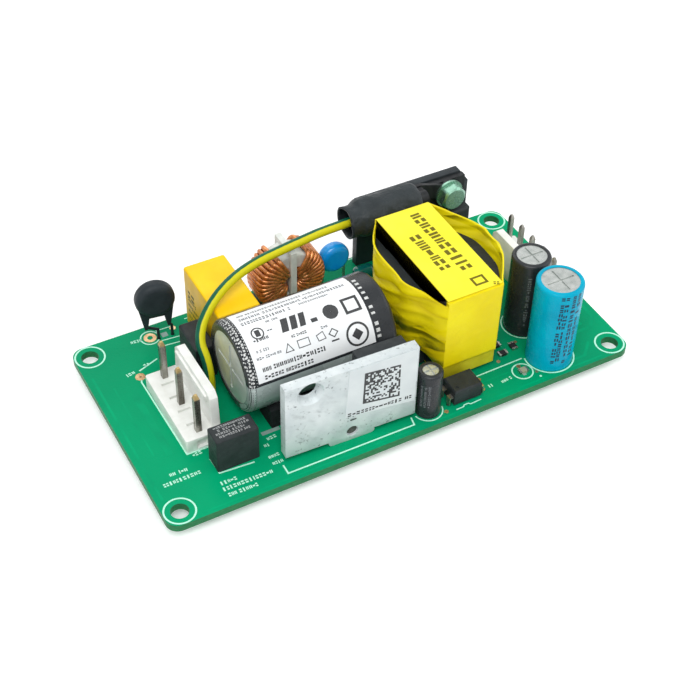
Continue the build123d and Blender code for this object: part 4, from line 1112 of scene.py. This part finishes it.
@dataclass
class Turns:
    """A winding of separate turns round a ring, made with Geometry Nodes.

    Every second turn is wider inside the ring's bore, so that the wires there lie in two layers.
    """

    centre: Point = (-5.6, 18.6, 10.1)
    case_outer: float = 6.7
    case_bore: float = 3.2
    case_t: float = 5.6
    wire_r: float = 0.52
    count: int = 15
    gap: float = 24.0
    tilt: float = 7.0
    layer_pitch: float = 1.9
    bend: float = 2.4
    bend_steps: int = 4
    wire_sides: int = 10

    def layer(self, net: Net, given: bpy.types.NodeOutputs, number: int) -> Signal:
        """The turns of one layer.

        Args:
            net: the node tree.
            given: the tree's named inputs.
            number: 0 for the turns against the bore's wall and 1 for those that lie on them.

        Returns:
            The turns as instances.
        """
        inset = net.math("MULTIPLY", given["Wire"], self.layer_pitch * number)
        bore = net.math("SUBTRACT", given["Bore"], inset)
        width = net.math("SUBTRACT", given["Outer"], bore)
        loop = net.add("GeometryNodeCurvePrimitiveQuadrilateral", {"Width": width, "Height": given["Depth"]})
        radius = net.math("MULTIPLY", given["Wire"], self.bend)
        corners = {"Curve": loop, "Count": self.bend_steps, "Radius": radius}
        rounded = net.add("GeometryNodeFilletCurve", corners, mode="POLY")
        circle = {"Resolution": self.wire_sides, "Radius": given["Wire"]}
        profile = net.add("GeometryNodeCurvePrimitiveCircle", circle)
        tube = net.add("GeometryNodeCurveToMesh", {"Curve": rounded, "Profile Curve": profile})
        out = net.add("ShaderNodeCombineXYZ", {"X": net.math("ADD", bore, net.math("MULTIPLY", width, 0.5))})
        slant = net.add("ShaderNodeCombineXYZ", {"X": given["Tilt"]})
        turn = net.add("GeometryNodeTransform", {"Geometry": tube, "Rotation": slant, "Translation": out})
        points = net.add("GeometryNodeMeshLine", {"Count": given["Turns"], "Offset": (0, 0, 0)})
        index = net.add("GeometryNodeInputIndex")
        angle = net.math("ADD", given["Start"], net.math("MULTIPLY", index, given["Step"]))
        about = net.add("ShaderNodeCombineXYZ", {"Y": angle})
        mine = net.math("COMPARE", net.math("MODULO", index, 2.0), float(number), 0.1)
        return net.add("GeometryNodeInstanceOnPoints",
                       {"Points": points, "Selection": mine, "Instance": turn, "Rotation": about})

    def tree(self) -> bpy.types.NodeTree:
        """Rounded loops, set about an axis at even angles.

        Returns:
            The tree, whose inputs are the winding's sizes and its finish.
        """
        group = bpy.data.node_groups.new("wound_turns", "GeometryNodeTree")
        group.interface.new_socket("Geometry", in_out="OUTPUT", socket_type="NodeSocketGeometry")
        for names, kind in ((("Turns",), "Int"), (("Finish",), "Material"),
                            (("Start", "Step", "Outer", "Bore", "Depth", "Wire", "Tilt"), "Float")):
            for name in names:
                group.interface.new_socket(name, in_out="INPUT", socket_type="NodeSocket" + kind)
        net = Net(group)
        given = net.nodes.new("NodeGroupInput").outputs
        joined = net.add("GeometryNodeJoinGeometry")
        for number in (0, 1):
            net.feed(joined.node, {0: self.layer(net, given, number)})
        real = net.add("GeometryNodeRealizeInstances", {"Geometry": joined})
        smooth = net.add("GeometryNodeSetShadeSmooth", {"Geometry": real})
        finished = net.add("GeometryNodeSetMaterial", {"Geometry": smooth, "Material": given["Finish"]})
        net.feed(net.nodes.new("NodeGroupOutput"), {0: finished})
        return group

    def wind(self, node: str, group: bpy.types.NodeTree, middle: float) -> None:
        """One half of the choke.

        Args:
            node: the CAD node that it stands for.
            group: the tree that makes the turns.
            middle: the angle of its middle, in radians.
        """
        sweep = math.radians(180 - 2 * self.gap)
        edge = math.asin(self.wire_r / self.case_outer)
        values = {"Turns": self.count, "Start": middle - sweep / 2 + edge,
                  "Step": (sweep - 2 * edge) / (self.count - 1), "Wire": self.wire_r * MM,
                  "Outer": (self.case_outer + self.wire_r) * MM, "Bore": (self.case_bore - self.wire_r) * MM,
                  "Depth": (self.case_t + 2 * self.wire_r) * MM, "Tilt": math.radians(self.tilt),
                  "Finish": Look.COPPER.material}
        holder = show(node + "_holder", bpy.data.meshes.new(node))
        modifier = holder.modifiers.new("turns", "NODES")
        modifier.node_group = group
        for item in group.interface.items_tree:
            if item.in_out == "INPUT":
                modifier[item.identifier] = values[item.name]
        holder.update_tag()
        mesh = bpy.data.meshes.new_from_object(holder.evaluated_get(bpy.context.evaluated_depsgraph_get()))
        bpy.data.objects.remove(holder)
        mesh.transform(Matrix.Translation(Vector(self.centre) * MM))
        Shop.piece(node + "_turns", mesh, Look.COPPER, "copper_wire", [node])
        log.info("wound %s, %d turns", node, self.count)

    def build(self) -> None:
        """Wind both halves of the choke."""
        group = self.tree()
        self.wind("choke_winding_right", group, 0.0)
        self.wind("choke_winding_left", group, math.pi)


@dataclass
class InputFilter:
    """Fuses, thermistor, suppression capacitor, choke and small discs."""

    turns: Turns = field(default_factory=Turns)
    row_pitch: float = 0.8
    box_row_pitch: float = 1.55
    base_rounding: float = 0.2

    def fuse_print(self) -> None:
        """Pale rows of marks on top of the line fuse."""
        top = Room.of("line_fuse").high.z
        marks = Print(lambda u, v, lift: (u, v, top + lift), step=2.0, lift=0.02)
        for i, (u0, u1) in enumerate(((-36.6, -30.2), (-36.9, -31.0), (-36.3, -29.9), (-36.8, -30.4))):
            v = -16.4 + i * self.row_pitch
            marks.row(u0, v, u1, v - 0.05, 0.6, 20 + i, 0.7)
        marks.finish("line_fuse_print", Look.PALE_INK)

    def box_print(self) -> None:
        """Faint marks on the outer side of the yellow capacitor."""
        side = Room.of("x_capacitor").low.x
        marks = Print(lambda u, v, lift: (side - lift, u, v), step=2.0, lift=0.02)
        marks.row(21.7, 11.4, 18.8, 11.4, 2.0, 31, 0.8)
        for i, end in enumerate((17.6, 14.6, 12.8, 11.6, 11.9)):
            v = 9.5 - i * self.box_row_pitch
            marks.row(21.8, v, end, v, 1.0, 32 + i, 0.7)
        marks.finish("x_capacitor_print", Look.OLIVE_INK)

    def build(self) -> None:
        """Dress the parts of the input filter."""
        Shop.dress({Look.BLACK: ["line_fuse", "neutral_fuse"], Look.TINNED: ["fuse_leads", "filter_leads"],
                    Look.COATING: ["thermistor", "thermistor_leads"], Look.YELLOW_BOX: ["x_capacitor"],
                    Look.CASE_WHITE: ["choke_case"], Look.BLUE: ["y_capacitor"],
                    Look.BROWN: ["snubber_capacitor"], Look.TEAL: ["bead_inductor"]})
        Shop.softened("choke_base", Look.BLACK, self.base_rounding, "black_plastic")
        self.fuse_print()
        self.box_print()
        self.turns.build()
        log.info("input filter done")


@dataclass
class BulkCapacitor:
    """The large capacitor on its side, with its label and printed ends."""

    sleeve: Room = field(default_factory=lambda: Room.of("bulk_capacitor_sleeve"))
    label: Room = field(default_factory=lambda: Room.of("bulk_capacitor_label"))
    label_t: float = 0.08
    label_top: float = 60.0
    rim_bend: float = 1.08
    stripe: tuple[int, int] = (168, 236)
    stripe_end: float = 2.0
    stripe_step: int = 4

    @property
    def r(self) -> float:
        """The sleeve's radius."""
        return (self.sleeve.high.z - self.sleeve.low.z) / 2

    def around(self, x: float, r: float, angle: float) -> Point:
        """The point at a distance from the can's axis, at an angle in radians from the rear."""
        middle = self.sleeve.middle
        return (x, middle.y + r * math.cos(angle), middle.z + r * math.sin(angle))

    def on_label(self, u: float, v: float, lift: float) -> Point:
        """The label: u along the can from its left end, v down from its upper edge."""
        r = self.r + self.label_t
        return self.around(self.label.low.x + u, r + lift, math.radians(self.label_top) + v / r)

    def on_sleeve(self, u: float, v: float, lift: float) -> Point:
        """The sleeve: u along the can, v the angle round it in degrees from the rear."""
        return self.around(u, self.r + lift, math.radians(v))

    def on_rim(self, u: float, v: float, lift: float) -> Point:
        """The left rim of the sleeve.

        Args:
            u: the way from the flat end's edge, outward over the rounding.
            v: the angle in degrees from the rear.
            lift: how far the mark stands off.

        Returns:
            The point in place.
        """
        t = min(max(u / self.rim_bend, 0.0), math.pi / 2)
        out = self.rim_bend + lift
        r = self.r - self.rim_bend + min(u, 0.0) + out * math.sin(t)
        return self.around(self.sleeve.low.x + self.rim_bend - out * math.cos(t), r, math.radians(v))

    def label_print(self) -> None:
        """Generic marks in the places of the real label's print."""
        dark, grey = Print(self.on_label, step=0.9, lift=0.02), Print(self.on_label, step=0.9, lift=0.02)
        for u0, v, u1, height, seed in (
                (1.2, 3.6, 23.0, 0.8, 41), (1.0, 5.0, 11.6, 0.85, 42), (1.3, 2.2, 20.5, 0.7, 43),
                (5.4, 6.1, 8.0, 0.6, 49), (13.0, 4.6, 19.4, 0.55, 50), (4.8, 8.1, 6.0, 0.7, 53),
                (14.6, 11.0, 16.0, 0.6, 54), (1.2, 11.3, 4.0, 0.6, 45), (0.8, 12.6, 6.0, 0.6, 46)):
            grey.row(u0, v, u1, v, -height, seed)
        for u0, v, u1, height, seed, wide in (
                (8.6, 10.7, 11.6, 0.6, 44, 0.62), (1.5, 9.3, 4.4, 0.75, 55, 0.7),
                (1.3, 15.0, 14.6, 0.95, 47, 0.62), (1.4, 16.5, 11.2, 0.9, 48, 0.62)):
            dark.row(u0, v, u1, v, -height, seed, wide)
        for corners in ([(2.4, 6.9), (3.4, 6.9), (3.4, 8.3), (2.4, 8.3)],
                        [(8.0, 6.4), (9.4, 6.4), (8.7, 9.2), (7.3, 9.2)],
                        [(9.9, 6.4), (11.2, 6.4), (10.5, 9.2), (9.2, 9.2)],
                        [(11.7, 6.4), (12.9, 6.4), (12.2, 9.2), (11.0, 9.2)],
                        [(13.4, 8.4), (14.7, 8.4), (14.7, 9.2), (13.4, 9.2)],
                        [(15.8, 13.6), (17.4, 13.6), (17.4, 13.9), (15.8, 13.9)],
                        [(21.2, 12.9), (22.4, 14.1), (21.2, 15.3), (20.0, 14.1)]):
            dark.patch(corners)
        for path, width in (([(20.6, 6.9), (23.5, 6.9), (23.5, 9.7), (20.6, 9.7)], 0.55),
                            ([(6.6, 12.9), (7.4, 11.4), (8.2, 12.9)], 0.16),
                            ([(9.3, 11.5), (11.6, 11.5), (11.6, 12.9), (9.3, 12.9)], 0.16),
                            ([(13.2, 11.8), (14.6, 11.4), (14.9, 12.8), (13.4, 12.9)], 0.16),
                            ([(16.6, 11.5), (17.5, 12.3), (16.6, 13.1), (15.7, 12.3)], 0.2)):
            dark.line(path, width, close=True)
        dark.ring(2.9, 7.6, 1.15, 0.26)
        dark.dot(17.7, 8.3, 1.55)
        dark.ring(21.2, 14.1, 2.15, 0.42)
        dark.finish("bulk_capacitor_label_print", Look.INK)
        grey.finish("bulk_capacitor_label_small_print", Look.GREY_INK)

    def sleeve_print(self) -> None:
        """White marks round both ends of the sleeve and on its left rim."""
        pick = random.Random(7)
        white = Print(self.on_sleeve, step=0.6, lift=0.03)
        for angle in range(60, 168, 4):
            u = self.sleeve.low.x + 0.8 + pick.uniform(0, 0.15)
            white.bar(u, angle, u + pick.uniform(0.2, 0.45), angle + pick.uniform(1.2, 3.0))
            u += 0.6
            white.bar(u, angle + 1.6, u + pick.uniform(0.1, 0.22), angle + pick.uniform(2.4, 4.6))
        for angle in (76, 84, 92, 100, 108, 120, 128, 140, 148, 156):
            white.bar(-1.5, angle, -0.7, angle + pick.uniform(2.6, 4.6))
        white.finish("bulk_capacitor_sleeve_print", Look.WHITE_INK)
        rim = Print(self.on_rim, step=1.5, lift=0.025)
        for angle in range(58, 166, 5):
            u = pick.uniform(0.45, 0.75)
            rim.bar(u, angle, u + 0.3, angle + pick.uniform(1.4, 3.2))
            rim.bar(u + 0.4, angle + 1.2, 1.5, angle + pick.uniform(2.4, 4.4))
        rim.finish("bulk_capacitor_rim_print", Look.WHITE_INK)

    def stripe_print(self) -> None:
        """The pale stripe below the label, which runs on over the left rim."""
        first, last = self.stripe
        stripe = Print(self.on_sleeve, step=1.5, lift=0.02)
        for angle in range(first, last, self.stripe_step):
            stripe.bar(self.label.low.x - 0.6, angle, self.stripe_end, angle + self.stripe_step)
        stripe.finish("bulk_capacitor_stripe", Look.STRIPE)
        edge = Print(self.on_rim, step=4.0, lift=0.02)
        steps = (-0.85, 0.0, 0.45, 0.9, 1.3, 1.8)
        for angle in range(first, last + self.stripe_step, self.stripe_step):
            for low, high in zip(steps, steps[1:]):
                edge.bar(low, angle, high, angle + self.stripe_step)
        edge.finish("bulk_capacitor_stripe_end", Look.STRIPE)

    def build(self) -> None:
        """Dress the capacitor."""
        Shop.dress({Look.CAN: ["bulk_capacitor_can"], Look.SLEEVE: ["bulk_capacitor_sleeve"],
                    Look.PAPER: ["bulk_capacitor_label"], Look.RUBBER: ["bulk_capacitor_bung"],
                    Look.TINNED: ["bulk_capacitor_leads"], Look.FOAM: ["bulk_capacitor_pad"]})
        self.label_print()
        self.sleeve_print()
        self.stripe_print()
        log.info("bulk capacitor done")


@dataclass
class FrontHeatsink:
    """The bare plate at the front edge, its label and the switch behind it."""

    x: float = -11.9
    y: float = -21.2
    turn: float = -2.2
    label_t: float = 0.08
    stake_depth: float = 0.5
    stake: tuple[float, float, float] = (0.2, 2.3, 1.15)
    rounding: float = 0.16
    switch_rounding: float = 0.15

    def on_face(self, u: float, v: float, lift: float) -> Point:
        """The front of the label.

        Args:
            u: the way along the plate from its middle.
            v: the height above the board.
            lift: how far the mark stands off.

        Returns:
            The point in place.
        """
        t = math.radians(self.turn)
        out = self.label_t + lift
        return (self.x + u * math.cos(t) + out * math.sin(t), self.y + u * math.sin(t) - out * math.cos(t),
                BOARD_TOP + v)

    def in_stake(self, u: float, v: float, lift: float) -> Point:
        """The bottom of the stake mark, by the same measures as the label's front."""
        return self.on_face(u, v, lift - self.label_t - self.stake_depth)

    def label_print(self) -> None:
        """A square of scattered cells and one row of small marks, and the dark stake mark."""
        ink = Print(self.on_face, step=2.0, lift=0.02)
        ink.code([(2.1, 8.8), (9.9, 7.6), (9.8, 15.9), (2.33, 16.7)], 20, 51)
        ink.row(-1.0, 6.55, 12.3, 5.85, 0.95, 52, 0.72)
        ink.bar(-0.4, 5.3, 0.9, 5.6)
        ink.finish("front_heatsink_label_print", Look.INK)
        dimple = Print(self.in_stake, step=0.5, lift=0.03)
        dimple.dot(*self.stake)
        dimple.finish("front_heatsink_dimple", Look.DIMPLE)

    def build(self) -> None:
        """Dress the plate and what is on it."""
        Shop.softened("front_heatsink", Look.PLATE, self.rounding, "heatsink_aluminium")
        Shop.softened("front_switch", Look.BLACK, self.switch_rounding, "black_plastic")
        Shop.dress({Look.PLATE_PAPER: ["front_heatsink_label"], Look.THERMAL: ["front_thermal_pad"],
                    Look.TINNED: ["front_switch_leads"]})
        self.label_print()
        log.info("front heatsink done")


@dataclass
class Transformer:
    """The transformer in its yellow tape."""

    wrap: Room = field(default_factory=lambda: Room.of("transformer_wrap"))
    band: Room = field(default_factory=lambda: Room.of("transformer_band"))
    band_rounding: float = 0.5
    fold_depth: float = 0.34
    fold_rise: float = 20.0
    fold_width: float = 3.4
    fold_length: float = 13.0
    fold_pitch: float = 0.6
    fold_sharpness: float = 3.0
    flat_end: float = 0.6
    fade: float = 5.0
    side_shift: float = 5.3

    def fold(self, spot: Vector) -> Vector:
        """How far the slack tape stands out at a place on a side.

        Args:
            spot: the place, in millimetres.

        Returns:
            The way that it moves, in millimetres.
        """
        rise = math.radians(self.fold_rise)
        across = spot.y * math.sin(rise) + spot.z * math.cos(rise)
        along = spot.z * math.sin(rise) - spot.y * math.cos(rise)
        side = 1.0 if spot.x > self.wrap.middle.x else -1.0
        place = Vector((across / self.fold_width, along / self.fold_length, side * self.side_shift))
        ridge = max(0.0, 1.0 - self.fold_sharpness * abs(field_noise.noise(place)))
        inside = min(spot.y - self.wrap.low.y, self.wrap.high.y - spot.y) - self.flat_end
        t = max(0.0, min(1.0, inside / self.fade))
        return Vector((side * self.fold_depth * ridge * t * t * (3 - 2 * t), 0, 0))

    def on_top(self, u: float, v: float, lift: float) -> Point:
        """The taped top, by X and Y."""
        return (u, v, self.band.high.z + lift)

    def top_print(self) -> None:
        """Two rows of plain marks, a square one and a short small row, along the top."""
        ink = Print(self.on_top, step=2.0, lift=0.02)
        ink.row(16.9, 8.8, 17.7, -11.4, 2.6, 61, 0.56)
        ink.row(13.4, 3.0, 14.0, -8.4, 2.5, 62, 0.56)
        ink.line([(17.9, -13.0), (20.3, -13.0), (20.3, -15.0), (17.9, -15.0)], 0.5, close=True)
        ink.row(20.9, -16.3, 22.2, -17.0, 0.9, 63)
        ink.finish("transformer_print", Look.OLIVE_INK)

    def build(self) -> None:
        """Dress the transformer."""
        Shop.softened("transformer_band", Look.TAPE_FLAT, self.band_rounding, "tape_yellow", segments=3)
        Shop.reshaped("transformer_wrap", Look.TAPE, self.fold_pitch, self.fold, "tape_yellow")
        Shop.dress({Look.FERRITE: ["transformer_core"], Look.BLACK: ["transformer_bobbin"],
                    Look.RUBBER: ["transformer_coil"], Look.TINNED: ["transformer_pins"]})
        self.top_print()
        log.info("transformer done")


@dataclass
class RearHeatsink:
    """The black plate at the rear edge, the rectifier, screw and sleeve."""

    rounding: float = 0.2
    rectifier_rounding: float = 0.12
    lump: float = 0.3
    lump_size: float = 3.6
    lump_pitch: float = 0.8
    lump_shift: float = 9.3

    def lumps(self, spot: Vector) -> Vector:
        """How far the shrunk sleeve is out of true at a place, both in millimetres."""
        places = [spot / self.lump_size + Vector((0, self.lump_shift * axis, 0)) for axis in range(3)]
        return Vector([field_noise.noise(place) for place in places]) * self.lump

    def build(self) -> None:
        """Dress the plate and what is fixed to it."""
        Shop.softened("rear_heatsink", Look.ANODISED, self.rounding, "heatsink_black")
        Shop.softened("output_rectifier", Look.BLACK, self.rectifier_rounding, "black_plastic")
        Shop.reshaped("heat_shrink_sleeve", Look.SHRINK, self.lump_pitch, self.lumps, "rubber_black")
        Shop.dress({Look.TINNED: ["output_rectifier_leads"], Look.DARK_TAB: ["output_rectifier_tab"],
                    Look.STEEL: ["rear_washer", "rear_screw"], Look.FERRITE: ["ferrite_bead"]})
        log.info("rear heatsink done")


@dataclass
class OutputStage:
    """Upright capacitors, coupler, lamp and small chips."""

    large: tuple[float, float, float] = (34.5, -19.4, 4.75)
    small: tuple[float, float, float] = (34.9, -9.2, 4.0)
    aux: tuple[float, float, float] = (4.9, -21.2, 2.5)

    @staticmethod
    def column(ink: Print, r: float, angle: float, low: float, high: float, height: float, seed: int) -> None:
        """A row of marks that runs straight up a can."""
        at = math.radians(angle) * r
        ink.row(at, low, at, high, height, seed)

    @staticmethod
    def round_can(can: tuple[float, float, float], step: float) -> Print:
        """A sheet round an upright can: u is the arc from the right, v the height above the board.

        Args:
            can: X and Y of the can's axis, and the sleeve's radius.
            step: the longest side of a face.

        Returns:
            The empty sheet.
        """
        x, y, r = can

        def lay(u: float, v: float, lift: float) -> Point:
            """A point on the sleeve."""
            return (x + (r + lift) * math.cos(u / r), y + (r + lift) * math.sin(u / r), BOARD_TOP + v)

        return Print(lay, step, lift=0.02)

    def cyan_print(self) -> None:
        """Four dark columns of marks on the cyan capacitor, which lean a little."""
        ink = self.round_can(self.large, 0.9)
        for angle, height, seed in ((-111, 0.85, 71), (-122, 0.85, 75), (-94, 0.95, 72), (-78, 0.95, 73)):
            at = math.radians(angle) * self.large[2]
            ink.row(at, 19.6, at - 0.25, 2.2, height, seed, 1.05, 0.2)
        ink.finish("output_capacitor_large_print", Look.NAVY_INK)

    def small_print(self) -> None:
        """Grey marks on the two black capacitors."""
        ink = self.round_can(self.aux, 0.6)
        for seed, angle in enumerate((-150, -132, -114), 81):
            self.column(ink, self.aux[2], angle, 3.0, 8.6, 0.55, seed)
        ink.finish("auxiliary_capacitor_print", Look.GREY_INK)
        ink = self.round_can(self.small, 0.9)
        self.column(ink, self.small[2], -118, 3.0, 16.0, 0.8, 84)
        ink.finish("output_capacitor_small_print", Look.GREY_INK)

    def build(self) -> None:
        """Dress the output side."""
        Shop.dress({Look.CAN_TOP: ["output_capacitor_large_can", "output_capacitor_small_can",
                                   "auxiliary_capacitor_can"],
                    Look.CYAN: ["output_capacitor_large_sleeve"],
                    Look.SLEEVE: ["output_capacitor_small_sleeve", "auxiliary_capacitor_sleeve"],
                    Look.BLACK: ["optocoupler"], Look.TINNED: ["optocoupler_leads"],
                    Look.CHIP: ["chip_components", "control_chip"], Look.SOLDER: ["chip_terminals"],
                    Look.LAMP: ["indicator_lamp"]})
        self.cyan_print()
        self.small_print()
        log.info("output stage done")


def main() -> None:
    """Build the studio and every sub-assembly in order."""
    logging.basicConfig(level=logging.INFO, format="%(name)s: %(message)s")
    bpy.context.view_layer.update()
    for part in (Studio(), GroundWire(), Board(), Headers(), InputFilter(), BulkCapacitor(), FrontHeatsink(),
                 Transformer(), RearHeatsink(), OutputStage()):
        part.build()


if __name__ == "__main__":
    main()
